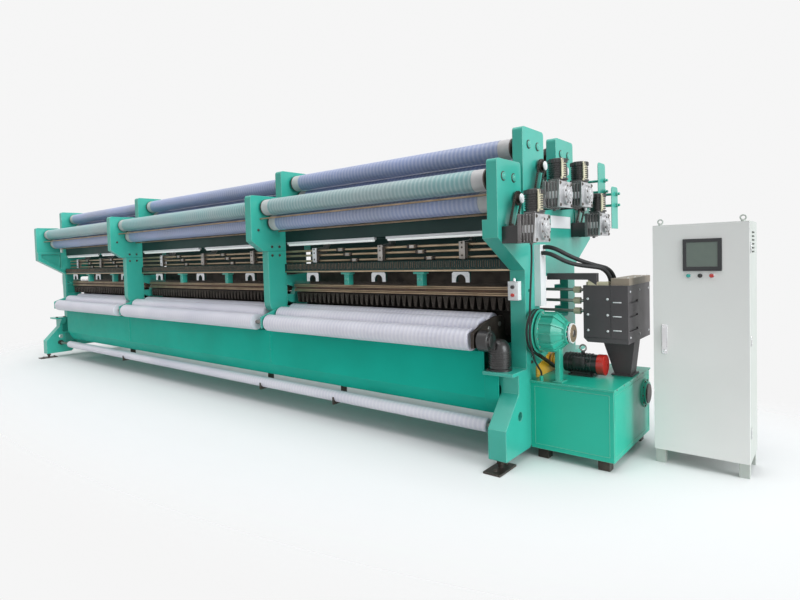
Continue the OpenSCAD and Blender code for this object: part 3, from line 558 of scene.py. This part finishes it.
def place(name, coat, bm, body="root", smooth=True):
    mesh = bpy.data.meshes.new(name)
    bm.to_mesh(mesh)
    bm.free()
    mesh.materials.append(coat)
    piece = bpy.data.objects.new(name, mesh)
    scene.collection.objects.link(piece)
    if smooth:
        for face in mesh.polygons:
            face.use_smooth = True
        mesh.set_sharp_from_angle(angle=sharp)
    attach(piece, body)
    print(name, "has", len(mesh.polygons), "faces")
    return piece


def meshes(count):
    return [bmesh.new() for k in range(count)]


print("piece helpers ready")

# %% [markdown]
# Sheet and plate close the machine's inside: a plate behind the guide bars, a bar below it, an apron behind
# the needle bed, dark lead grey as painted shade, and the bed cover's lower sheet, which runs on to the leg.
# Two thin rods in every bay lead the yarn under the front rollers. Each reaches the frames that carry it, so
# no gap shows.

# %% inner plates and yarn rods
plates, rear_bars, aprons, rods, cover_end = meshes(5)
plate_foot, rear_foot = 1.395, 1.225
bar_seat, rod_seat = 0.015, 0.040
for k, (low, high) in enumerate(bays):
    first, last = k == 0, k == 2
    block(plates, (low, -0.110, plate_foot), (high, -0.090, beam_low.z), 0.003)
    block(rear_bars, (low - (0 if first else bar_seat), -0.120, rear_foot),
          (high + (0 if last else bar_seat), -0.060, plate_foot), 0.006)
    block(aprons, (low, -0.190, 0.830), (high, -0.170, 1.096), 0.002)
    for y, z in ((-0.560, 1.852), (-0.800, 1.975)):
        ends = (low - (rod_seat if first else 0), high + (rod_seat if last else 0))
        bar(rods, (ends[0], y, z), (ends[1], y, z), 0.008, 16)
fold = [(-0.686, 0.645), (-0.686, 0.464), (-0.608, 0.336), (-0.330, 0.336), (-0.330, 0.342), (-0.604, 0.342),
        (-0.680, 0.466), (-0.680, 0.645)]
plate_x(cover_end, fold, drive_x - 0.140, drive_x - 0.257)
place("back_plates", beam_green, plates)
place("rear_bars", dark_steel, rear_bars)
# The apron's dark lead finish is painted shade for the shadow behind the needle bed.
place("bed_aprons", lead, aprons)
place("yarn_rods", tan, rods)
place("bed_cover_end", deep_green, cover_end)

# %% [markdown]
# The take-down gearmotor stands on the leg's shelf. A round worm case sits on the end of the first take-down
# roller, and an upright motor bell with cooling rings stands beside it. Both are turned shapes, and they
# stand for the plainer solid of the CAD model.

# %% take-down gearmotor
gear = bmesh.new()
worm = middle("takedown_roller_1")
bell_y, shelf_z = -0.640, 0.680
turned(gear, at(-0.232, worm.y, worm.z), to_right,
       [(0, 0.072), (0.006, 0.078), (0.084, 0.078), (0.090, 0.072), (0.0902, 0.054), (0.100, 0.054),
        (0.102, 0.050)])
block(gear, at(-0.222, -0.722, 0.842), at(-0.148, bell_y, 0.902), 0.008)
bell_side, ring_out = 0.078, 0.084
rise = [(0, 0.088), (0.012, 0.088), (0.014, 0.085), (0.020, bell_side)]
for k in range(7):
    z = 0.034 + k * 0.017
    rise += [(z, bell_side), (z + 0.001, ring_out), (z + 0.006, ring_out), (z + 0.007, bell_side)]
rise += [(0.160, bell_side), (0.182, 0.074), (0.200, 0.066), (0.214, 0.055), (0.226, 0.040), (0.232, 0.020),
         (0.234, 0.004)]
turned(gear, at(-0.150, bell_y, shelf_z), upward, rise)
for y, z in circle(4, 0.055):
    cap_screw(gear, at(-0.142, worm.y + y, worm.z + z), to_right, 0.007)
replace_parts(place("round_gearmotor", motor_black, gear), "takedown_gearmotor")

# %% [markdown]
# The clutch on the main shaft is a cast bell: a flange, a drum and a cone, with twelve ribs down to its nose.
# The bell is turned, each rib is a thin prism set on edge, and a foot holds it above the tank.

# %% clutch bell
bell, shaft_y, shaft_z = bmesh.new(), main_shaft.y, main_shaft.z
turned(bell, at(0, shaft_y, shaft_z), to_right,
       [(0.084, 0.060), (0.092, 0.060), (0.0922, 0.148), (0.094, 0.150), (0.110, 0.150), (0.112, 0.148),
        (0.1122, 0.138), (0.206, 0.138), (0.264, 0.084), (0.2642, 0.080), (0.293, 0.080), (0.296, 0.077)], 72)
rib = [(0.112, 0.120), (0.112, 0.150), (0.206, 0.150), (0.276, 0.084), (0.276, 0.070), (0.206, 0.110)]
rib_half = 0.005
for y, z in circle(12, 1.0):
    out, flat = Vector((0, y, z)), Vector((0, -z, y))
    prism(bell, *([Vector(at(x, shaft_y, shaft_z)) + out * r + flat * s for x, r in rib]
                  for s in (-rib_half, rib_half)))
block(bell, at(0.190, -0.444, 0.587), at(0.226, -0.374, 0.850), 0.004)
block(bell, at(0.170, -0.446, 0.587), at(0.246, -0.340, 0.603), 0.004)
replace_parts(place("clutch_bell", fin_green, bell), "clutch_housing")

# %% [markdown]
# Two guard plates stand off the rear arm in front of the rear chains, on long bolts with hexagon shoulders.
# Each plate is a prism with its two upper corners rounded by short arcs.

# %% rear guard plates
guards = bmesh.new()
corner, guard_thick = 0.030, 0.006
arc = [(corner * math.sin(a), corner * math.cos(a)) for a in (0, 0.4, 0.8, 1.2, math.pi / 2)]
for x, y0, y1, z0, z1 in ((0.146, 0.700, 0.890, 2.010, 2.330), (0.247, 0.735, 0.905, 1.740, 2.110)):
    rim = [(y0, z0)] + [(y0 + corner - q, z1 - corner + p) for p, q in arc]
    rim += [(y1 - corner + p, z1 - corner + q) for p, q in arc] + [(y1, z0)]
    plate_x(guards, rim, drive_x + x, drive_x + x + guard_thick)
bolt_y = 0.850
for x, z in ((0.152, 2.08), (0.152, 2.18), (0.253, 1.95), (0.253, 2.05)):
    bar(guards, at(0, bolt_y, z), at(x + 0.034, bolt_y, z), 0.012, 20)
    bar(guards, at(x, bolt_y, z), at(x + 0.016, bolt_y, z), 0.020, 6)
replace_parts(place("rear_guards", green, guards), "chain_guards")

# %% [markdown]
# On the outer side of each roller arm two round plugs cover the bearing screws of the top roller. Each is
# painted like the arm and stands in a dark ring, which is painted shade of the recess round the plug.

# %% arm plugs
plugs, plug_shade_rings = meshes(2)
for i in (1, 3, 5, 7):
    roller = middle(f"feed_roller_{i}")
    for y in (roller.y - 0.085, roller.y + 0.075):
        for x, way in ((drive_x, 1), (far_x, -1)):
            # The dark ring stands for the shaded recess round the plug: painted shade.
            stack(plug_shade_rings, (x, y, roller.z), (way, 0, 0), [(0.004, 0.034, 40, 0.97)])
            stack(plugs, (x + way * 0.004, y, roller.z), (way, 0, 0),
                  [(0.005, 0.027, 40, 0.94), (0.008, 0.012, 6, 0.9)])
place("arm_plugs", green, plugs)
place("plug_shade_rings", dark_steel, plug_shade_rings)

# %% [markdown]
# A real needle bar has thousands of needles. Here some nine hundred slim three-sided pins with bent tips
# read as a row, and one mesh holds a whole bay. Round pins would cost more faces and look the same.
# The rails above and below hide their ends.

# %% needles
needle_pitch, needle_start = 0.0085, 0.045


def pin(bm, x, y, foot, tip, radius, lean=0.0):
    ring = [bm.verts.new((x + radius * math.cos(a), y + radius * math.sin(a), foot)) for a in (0.5, 2.6, 4.7)]
    end = bm.verts.new((x + lean, y - 0.006, tip))
    for k in range(3):
        bm.faces.new((ring[k], ring[(k + 1) % 3], end))


rails = bmesh.new()
for b, (low, high) in enumerate(bays):
    row = bmesh.new()
    for k in range(int((high - low - 0.09) / needle_pitch)):
        x = low + needle_start + k * needle_pitch
        pin(row, x, -0.388, 1.286, 1.338, 0.0016, 0.001)
        if k % 2 == 0:
            pin(row, x, -0.393, 1.262, 1.214, 0.0020)
    place(f"needles_{b + 1}", dark_steel, row, "needle_bar", smooth=False)
    for z, radius in ((1.2185, 0.0065), (1.2335, 0.005), (1.2660, 0.005), (1.2805, 0.0065)):
        bar(rails, (low + 0.035, -0.3935, z), (high - 0.035, -0.3935, z), radius, 12)
place("needle_rails", brass, rails, "needle_bar")

# %% [markdown]
# Under the moving bar are the lead blocks of the sinkers. Four thin blades stand in front of each block,
# spread like fingers, and a cap screw holds it to the bed.

# %% sinker blades
lead_pitch, lead_edge = 0.062, 0.050
blade_top, blade_foot = 1.195, 1.108
for b, (low, high) in enumerate(bays):
    blades = bmesh.new()
    room = high - low - 2 * lead_edge
    count = int(room / lead_pitch)
    for k in range(count):
        x = low + lead_edge + room / count * (k + 0.5)
        for s in (-1.5, -0.5, 0.5, 1.5):
            top, foot = x + s * 0.013, x + s * 0.0055
            quad = [(top - 0.0022, blade_top), (top + 0.0022, blade_top), (foot + 0.0016, blade_foot),
                    (foot - 0.0016, blade_foot)]
            prism(blades, *([(qx, y, qz) for qx, qz in quad] for y in (-0.386, -0.379)), caps=1)
        cap_screw(blades, (x, -0.380, 1.104), to_front, 0.005)
    place(f"sinker_blades_{b + 1}", dark_steel, blades, smooth=False)

# %% [markdown]
# Three polished rods are the guide bars. Clamps ride on them: two dark jaws, each with a screw and a collar,
# and a steel cap between them. A clamp shogs with its own bar, so each bar has its own meshes.

# %% guide bar clamps
for i in range(1, 4):
    jaws, caps = meshes(2)
    rod = middle(f"guide_bar_{i}")
    z = rod.z
    for low, high in bays:
        for k in (1, 2):
            x = low + (high - low) * k / 3 + (i - 2) * 0.09
            block(caps, (x - 0.024, -0.452, z - 0.013), (x + 0.024, -0.4465, z + 0.013), 0.003)
            for s in (-1, 1):
                jaw = x + s * 0.038
                block(jaws, (jaw - 0.007, -0.449, z - 0.018), (jaw + 0.007, -0.4135, z + 0.018))
                bolt(jaws, (jaw, -0.449, z), to_front, 0.0055)
                bar(jaws, (jaw + s * 0.012, rod.y, z), (jaw + s * 0.020, rod.y, z), 0.0155, 20, 0.9)
    place(f"clamp_jaws_{i}", dark_steel, jaws, f"guide_bar_{i}")
    place(f"clamp_caps_{i}", steel, caps, f"guide_bar_{i}")

# %% [markdown]
# Cast hangers hold the rods from the swing shaft. Each gets a cover with three screws on its front and a dark
# slot beside it. The first cover in every bay is white, seen in the photograph as a pale block on the rods.

# %% hanger covers
covers, cast_covers, slots = meshes(3)
cover_front, hanger_front = -0.4640, -0.4525
for low, high in bays:
    for k in range(3):
        x = low + (high - low) * (k + 0.5) / 3
        block(covers if k == 0 else cast_covers, (x - 0.036, cover_front, 1.515),
              (x + 0.020, hanger_front, 1.660), 0.005)
        for z in (1.545, 1.610, 1.648):
            cap_screw(slots, (x - 0.008, cover_front, z), to_front, 0.006)
        block(slots, (x + 0.024, -0.462, 1.520), (x + 0.046, hanger_front, 1.650), 0.002)
place("hanger_covers", plastic_white, covers, "guide_swing")
place("cast_covers", steel, cast_covers, "guide_swing")
place("hanger_screws", dark_steel, slots, "guide_swing")

# %% [markdown]
# The yarn comb is a dark bar with a bright wear strip along its lower edge and thin reeds in its slots.
# The reeds are plain blocks without chamfers, because there are hundreds of them.

# %% comb strip and reeds
strip, reeds = meshes(2)
reed_pitch = 0.06
for low, high in bays:
    block(strip, (low + 0.004, -0.4965, 1.4165), (high - 0.004, -0.4920, 1.4300), 0.0015)
    for k in range(int((high - low - 0.08) / reed_pitch)):
        x = low + 0.063 + k * reed_pitch
        block(reeds, (x - 0.0007, -0.4950, 1.442), (x + 0.0007, -0.4735, 1.506), 0)
        for s in (-0.02, 0.02):
            block(reeds, (x + s - 0.001, -0.4948, 1.450), (x + s + 0.001, -0.4921, 1.500), 0)
place("comb_strip", brass, strip)
place("comb_reeds", brown, reeds, smooth=False)

# %% [markdown]
# Arch brackets hold the comb. Pale cast plates cap them in front, alternating with green braces behind.
# An arch plate is a prism with two cut corners and a half circle taken out below.

# %% arch plates and braces
arches, braces = meshes(2)
arch_half, arch_foot, arch_radius = 0.080, 1.326, 0.047
bow = [(u, 1.345 + v) for u, v in circle(20, arch_radius)[:11]]
arch = [(-arch_half, arch_foot), (-arch_half, 1.398), (-0.066, 1.412), (0.066, 1.412), (arch_half, 1.398),
        (arch_half, arch_foot), (arch_radius, arch_foot)] + bow + [(-arch_radius, arch_foot)]
for low, high in bays:
    for k in range(3):
        x = low + (high - low) * (k + 0.5) / 3
        prism(arches, *([(x + u, y, z) for u, z in arch] for y in (-0.508, -0.5003)), caps=1)
        for s in (-0.062, 0.062):
            cap_screw(arches, (x + s, -0.508, 1.375), to_front, 0.006)
        if k < 2:
            mid = x + (high - low) / 6
            block(braces, (mid - 0.030, -0.470, 1.290), (mid + 0.030, -0.400, 1.4150), 0.006)
            block(braces, (mid - 0.055, -0.488, 1.3945), (mid + 0.055, -0.404, 1.4149), 0.004)
            for s in (-0.014, 0.014):
                bolt(braces, (mid + s, -0.470, 1.345), to_front, 0.008)
place("arch_plates", plastic_white, arches)
place("comb_braces", green, braces)

# %% [markdown]
# Each feed unit is a cast worm reducer with an upright motor. Screws at the corners of the cover, more screws
# round the lid and a boss at its centre, ribs on the motor cap and a bare plate finish it. The four units are
# alike, so one loop builds them round the shafts of the four drive wheels.

# %% feed unit details
unit_screws, lids, caps, rating_plates = meshes(4)
motor_x = drive_x + 0.191
for i in range(1, 5):
    wheel = middle(f"drive_wheel_{i}")
    y, z = wheel.y, wheel.z
    for sy in (-0.104, 0.104):
        for sz in (-0.079, 0.079):
            cap_screw(unit_screws, at(0.250, y + sy, z + sz), to_right, 0.009)
            bolt(unit_screws, at(0.125, y + sy * 1.08, z + sz * 1.08), to_left, 0.008)
    for dy, dz in circle(8, 0.065, 0.5):
        cap_screw(unit_screws, at(0.272, y + dy, z + dz), to_right, 0.006)
    stack(lids, at(0.2795, y, z), to_right, [(0.0065, 0.038, 32, 0.94), (0.0125, 0.014, 24, 0.9)])
    block(rating_plates, at(0.1500, y - 0.1085, z - 0.030), at(0.2300, y - 0.1046, z + 0.022),
          0.001)
    for dx, dy in circle(20, 0.0675):
        bar(caps, (motor_x + dx, y + dy, z + 0.234), (motor_x + dx, y + dy, z + 0.2595), 0.0035, 8)
    bar(caps, (motor_x, y, z + 0.2615), (motor_x, y, z + 0.2675), 0.052, 32, 0.9)
    block(caps, at(0.150, y + 0.052, z + 0.150), at(0.232, y + 0.094, z + 0.215), 0.006)
place("unit_screws", dark_steel, unit_screws)
place("unit_lids", aluminium, lids)
place("unit_motor_caps", motor_black, caps)
place("unit_plates", plastic_white, rating_plates)

# %% [markdown]
# The driven rollers end in a chain wheel with a white cap. The cap turns with its roller, so each one rides
# on that roller's own body and not on the frame.

# %% roller caps
for i in (2, 4, 6, 8):
    cap, roller = bmesh.new(), middle(f"feed_roller_{i}")
    stack(cap, at(0.052, roller.y, roller.z), to_right, [(0.006, 0.036, 32, 0.93), (0.009, 0.020, 24, 0.9)])
    place(f"roller_cap_{i}", plastic_white, cap, f"feed_roller_{i}")

# %% [markdown]
# The oil tank is welded sheet: raised seams run along the edges of each wall, the top plate is screwed down,
# and the round inspection cover has a ring of screws round a dark glass. A weld bead is a thin bar half sunk
# in the wall, so no cut in the tank is needed.

# %% tank seams and cover
seams, tank_screws, sight = meshes(3)
wall_front, wall_right = -0.4472, drive_x + 0.6002
seam_low, seam_high, seam_radius = 0.110, 0.545, 0.0022
left, right_end = drive_x + 0.034, drive_x + 0.570
near, back = -0.417, 0.445
for z in (seam_low, seam_high):
    bar(seams, (left, wall_front, z), (right_end, wall_front, z), seam_radius, 8)
    bar(seams, (wall_right, near, z), (wall_right, back, z), seam_radius, 8)
for x, y in ((left, wall_front), (right_end, wall_front), (wall_right, near), (wall_right, back)):
    bar(seams, (x, y, seam_low), (x, y, seam_high), seam_radius, 8)
for k in range(6):
    cap_screw(tank_screws, at(0.608, -0.40 + k * 0.165, 0.581), to_right, 0.004)
cover_y, cover_z = 0.345, 0.408
for y, z in circle(10, 0.102):
    bolt(tank_screws, at(0.610, cover_y + y, cover_z + z), to_right, 0.006)
stack(sight, at(0.6262, cover_y, cover_z), to_right, [(0.0058, 0.078, 40, 0.95), (0.0073, 0.060, 40, 0.97)])
place("tank_seams", tank_green, seams)
place("tank_screws", dark_steel, tank_screws)
place("tank_sight", dark_steel, sight)

# %% [markdown]
# The clutch bell is bolted through its flange and again round its nose. A copper ring and a nut close the
# end of the main shaft and turn with it. Behind the belts a yellow backing plate stands on the tank.

# %% clutch bolts and belt backing
backing, clutch_bolts, copper_ring = meshes(3)
outline = [(-0.345, 0.5872), (-0.345, 0.672), (-0.200, 0.705), (0.040, 0.800), (0.120, 0.775),
           (0.160, 0.5872)]
plate_x(backing, outline, drive_x + 0.008, drive_x + 0.0005)
for y, z in ((-0.325, 0.61), (-0.325, 0.655), (0.135, 0.61), (0.105, 0.755)):
    cap_screw(backing, at(0.008, y, z), to_right, 0.006)
for x, radius in ((0.112, 0.1435), (0.296, 0.070)):
    for y, z in circle(12, radius, 0.5):
        bolt(clutch_bolts, at(x, shaft_y + y, shaft_z + z), to_right, 0.005)
stack(copper_ring, at(0.320, shaft_y, shaft_z), to_right, [(0.0035, 0.066, 48, 0.97), (0.009, 0.020, 6, 1.0)])
place("belt_backing", yellow, backing)
place("clutch_bolts", steel, clutch_bolts)
place("shaft_cap", brass, copper_ring, "main_pulley")

# %% [markdown]
# The main motor carries a lifting eye on its back and a bare terminal box on its side. The eye is a ring of
# short bars end to end.

# %% motor eye and terminal box
eye_ring, terminal = meshes(2)
eye_middle = Vector(at(0.262, motor_shaft.y, motor_shaft.z + 0.118))
spots = [eye_middle + Vector((x, 0, z)) for x, z in circle(28, 0.024)]
for a, b in zip(spots, spots[1:] + spots[:1]):
    bar(eye_ring, a, b, 0.006, 10)
block(terminal, at(0.205, -0.148, 0.655), at(0.300, -0.128, 0.735), 0.006)
block(terminal, at(0.300, -0.146, 0.668), at(0.330, -0.132, 0.700), 0.004)
place("motor_eye", steel, eye_ring)
place("motor_terminal", motor_black, terminal)

# %% [markdown]
# The pattern box is dark sheet. Pale button-head screws hold its panels, bright slots show on the side, and
# seams divide the front where the covers lift off. A seam is a hair-thin dark block on the face.

# %% pattern box details
heads, slits, seam = meshes(3)
box_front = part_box("pattern_box")[0].y
for x in (drive_x + 0.318, drive_x + 0.462):
    for z in (0.945, 1.065, 1.185):
        bar(heads, (x, box_front, z), (x, box_front - 0.0045, z), 0.0095, 20, 0.75)
for z in (0.952, 1.057, 1.162):
    block(slits, at(0.500, -0.1062, z - 0.004), at(0.560, -0.1038, z + 0.004), 0.001)
for y in (-0.05, 0.20, 0.45):
    for z in (0.90, 1.24):
        bar(heads, at(0.606, y, z), at(0.6105, y, z), 0.0085, 20, 0.75)
for y in (-0.06, 0.12, 0.30, 0.46):
    cap_screw(heads, at(0.596, y, 1.340), upward, 0.006)
block(seam, at(0.4835, -0.1056, 0.900), at(0.4865, -0.1038, 1.285), 0.0004)
block(seam, at(0.300, -0.1056, 0.8905), at(0.604, -0.1038, 0.8935), 0.0004)
place("pattern_screws", plastic_white, heads)
place("pattern_slits", plastic_white, slits)
place("pattern_seams", bezel, seam)

# %% [markdown]
# The cabinet door is folded sheet with a lock plate behind the handle, bright rings round its buttons and a
# thin bead round the screen. What is on the door swings with it. The hinges stay on the body, clear of the
# door when it is open.

# %% cabinet details
rings, bead, lock, hinges = meshes(4)
cab, door_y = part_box("cabinet_body")[0].x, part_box("cabinet_door")[0].y
for button in (middle("start_button"), middle("stop_button")):
    bar(rings, (button.x, door_y, button.z), (button.x, door_y - 0.0038, button.z), 0.0165, 32, 0.92)
block(lock, (cab + 0.055, -0.0390, 0.800), (cab + 0.091, door_y, 1.010), 0.003)
bar(lock, (cab + 0.073, -0.0388, 0.822), (cab + 0.073, -0.0430, 0.822), 0.009, 24, 0.92)
low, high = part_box("screen_panel")
corners = [(x, door_y - 0.0012, z)
           for x, z in ((low.x, low.z), (high.x, low.z), (high.x, high.z), (low.x, high.z))]
for a, b in zip(corners, corners[1:] + corners[:1]):
    bar(bead, a, b, 0.0022, 8)
for z in (0.30, 0.92, 1.54):
    block(hinges, (cab + 0.5752, 0.0080, z - 0.035), (cab + 0.5790, 0.0460, z + 0.035), 0.001)
    for s in (-0.018, 0.018):
        bar(hinges, (cab + 0.579, 0.027, z + s), (cab + 0.5806, 0.027, z + s), 0.004, 16, 0.8)
place("control_rings", chrome, rings, "cabinet_door")
place("screen_bead", bezel, bead, "cabinet_door")
place("lock_plate", chrome, lock, "cabinet_door")
place("cabinet_hinges", chrome, hinges)

# %% [markdown]
# The bed cover is one long painted sheet. Lap seams with three screws divide it under each middle frame, and
# short gussets brace the take-down brackets above it. A gusset is a prism with a slanted lower edge.

# %% bed cover seams and gussets
laps, gussets = meshes(2)
gusset = [(-0.686, 0.812), (-0.748, 0.862), (-0.748, 0.880), (-0.686, 0.880)]
for x in middle_frame_xs:
    block(laps, (x - 0.022, -0.6885, 0.470), (x + 0.022, -0.6858, 0.812), 0.001)
    for z in (0.50, 0.62, 0.76):
        cap_screw(laps, (x, -0.6885, z), to_front, 0.006)
    plate_x(gussets, gusset, x + 0.048, x + 0.068)
place("cover_laps", deep_green, laps)
place("bracket_gussets", deep_green, gussets)

# %% [markdown]
# The frames are bolted together: hexagon bolts stand on the legs' shelf flanges, on the foot pads and on
# the joint between head and post of the middle frames, where a thin parting line shows too.

# %% frame bolts
bolts, lines = meshes(2)
for x, way in ((drive_x, -1), (far_x, 1)):
    for y in (-0.70, -0.58, 0.58, 0.70):
        for d in (0.165, 0.215):
            bolt(bolts, (x + way * d, y, shelf_z), upward, 0.012)
    for y in (-0.90, -0.73, 0.73, 0.90):
        bolt(bolts, (x + way * 0.07, y, 0.014), upward, 0.012)
    for y, z in ((-0.417, 0.72), (-0.417, 0.81), (0.45, 0.76)):
        bolt(bolts, (x, y, z), (-way, 0, 0), 0.010)
for x in middle_frame_xs:
    block(lines, (x - 0.0456, -0.7156, 1.6435), (x + 0.0456, -0.470, 1.6465), 0.0004)
    for s in (-1, 1):
        for y, z in ((-0.66, 1.69), (-0.56, 1.69), (-0.66, 1.60), (-0.56, 1.60), (-0.83, 1.86)):
            bolt(bolts, (x + s * frame_thick / 2, y, z), (s, 0, 0), 0.011)
place("frame_bolts", dark_steel, bolts)
place("parting_lines", beam_green, lines)

# %% [markdown]
# The push-button station is a white moulded case: a raised face panel, a bright ring round each button and
# the cable gland on its top edge.

# %% station details
panel, station_rings = meshes(2)
start, stop = middle("station_start"), middle("station_stop")
block(panel, (start.x - 0.034, -0.5632, 1.204), (start.x + 0.034, -0.5608, 1.334), 0.0008)
for button in (stop, start):
    bar(station_rings, (button.x, -0.5630, button.z), (button.x, -0.5650, button.z), 0.0165, 32, 0.93)
bar(station_rings, (start.x, -0.533, 1.340), (start.x, -0.533, 1.362), 0.011, 16, 0.85)
place("station_panel", plastic_white, panel)
place("station_rings", chrome, station_rings)

# %% [markdown]
# The machine stands on pale studio paper that fades into the white background, so no horizon shows but the
# soft shadow under the machine stays. The fade is an ellipse round the machine: outside it the paper's
# material turns clear, which is simpler than a paper sweep behind ten metres of machine.

# %% floor
floor_half = 40
fade_reach_x, fade_reach_y = 6.4, 2.6
floor_mesh, sheet_mesh = bpy.data.meshes.new("floor"), bmesh.new()
bmesh.ops.create_grid(sheet_mesh, x_segments=1, y_segments=1, size=floor_half)
sheet_mesh.to_mesh(floor_mesh)
sheet_mesh.free()
floor = bpy.data.objects.new("floor", floor_mesh)
scene.collection.objects.link(floor)
paper = bpy.data.materials.new("pale_floor")
paper.use_nodes = True
tree = paper.node_tree
sheet = tree.nodes["Principled BSDF"]
wire(tree, sheet, {"Base Color": (0.79, 0.79, 0.79, 1), "Roughness": 0.9, "Specular IOR Level": 0.1})
spot = add(tree, "TexCoord").outputs["Object"]
stretch = add(tree, "VectorMath", (spot, (1 / fade_reach_x, 1 / fade_reach_y, 0)), "MULTIPLY")
reach = add(tree, "VectorMath", (stretch.outputs["Vector"],), "LENGTH")
fade = add(tree, "MapRange", Value=reach.outputs["Value"], From_Min=0.75, From_Max=1.25)
fade.interpolation_type = "SMOOTHSTEP"
clear = add(tree, "BsdfTransparent").outputs["BSDF"]
blend = add(tree, "MixShader", (fade.outputs["Result"], sheet.outputs["BSDF"], clear))
wire(tree, tree.nodes["Material Output"], {"Surface": blend.outputs["Shader"]})
floor_mesh.materials.append(paper)
floor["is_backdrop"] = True
print("floor laid,", 2 * floor_half, "m wide")

# %% [markdown]
# The light comes from broad soft suns. Area lamps would light the near end more than the far one, while a sun
# lights ten metres of machine evenly: the strongest from above, one from the right on the drive end and a
# weak one in front.

# %% lamps
def soft_sun(name, way, strength, spread, tint=(1, 1, 1)):
    data = bpy.data.lights.new(name, "SUN")
    data.energy = strength
    data.angle = math.radians(spread)
    data.color = tint
    sun = bpy.data.objects.new(name, data)
    scene.collection.objects.link(sun)
    sun.rotation_euler = Vector(way).to_track_quat("-Z", "Y").to_euler()
    print(name, "has strength", strength)


soft_sun("top_light", (0.05, 0.12, -1.0), 1.6, 50)
soft_sun("side_light", (-1.0, 0.10, -0.25), 2.25, 40, (0.92, 0.98, 1.0))
soft_sun("front_light", (-0.1, 1.0, -0.55), 0.10, 60)

# %% [markdown]
# The sky gives a fill that is brighter on the drive side. The camera, and mirrors and glass with it, see the
# sky as plain white instead: the Light Path node tells such rays from those that light the machine.

# %% sky
sky = bpy.data.worlds.new("studio")
scene.world = sky
sky.use_nodes = True
tree = sky.node_tree
tree.nodes.clear()
ray_way = add(tree, "TexCoord").outputs["Generated"]
drive_side = Vector((0.85, 0.10, 0.50)).normalized()
toward = add(tree, "VectorMath", (ray_way, drive_side), "DOT_PRODUCT")
strength = add(tree, "MapRange", Value=toward.outputs["Value"], From_Min=-0.6, To_Min=0.18, To_Max=0.90)
fill = add(tree, "Background", Color=(0.94, 0.97, 1.0, 1), Strength=strength.outputs["Result"])
seen = add(tree, "Background", Color=(0.92, 0.92, 0.92, 1))
path = add(tree, "LightPath")
direct = path.outputs["Is Camera Ray"]
for ray in ("Is Glossy Ray", "Is Transmission Ray"):
    direct = add(tree, "Math", (direct, path.outputs[ray]), "MAXIMUM").outputs["Value"]
pick = add(tree, "MixShader", (direct, fill.outputs["Background"], seen.outputs["Background"]))
add(tree, "OutputWorld", Surface=pick.outputs["Shader"])
scene.view_settings.view_transform = "Standard"
print("sky ready with", len(tree.nodes), "nodes")

# %% [markdown]
# The last cell prints the size of the dressed model.

# %% finish
low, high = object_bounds()
print("dressed size", [round(b - a, 3) for a, b in zip(low, high)])
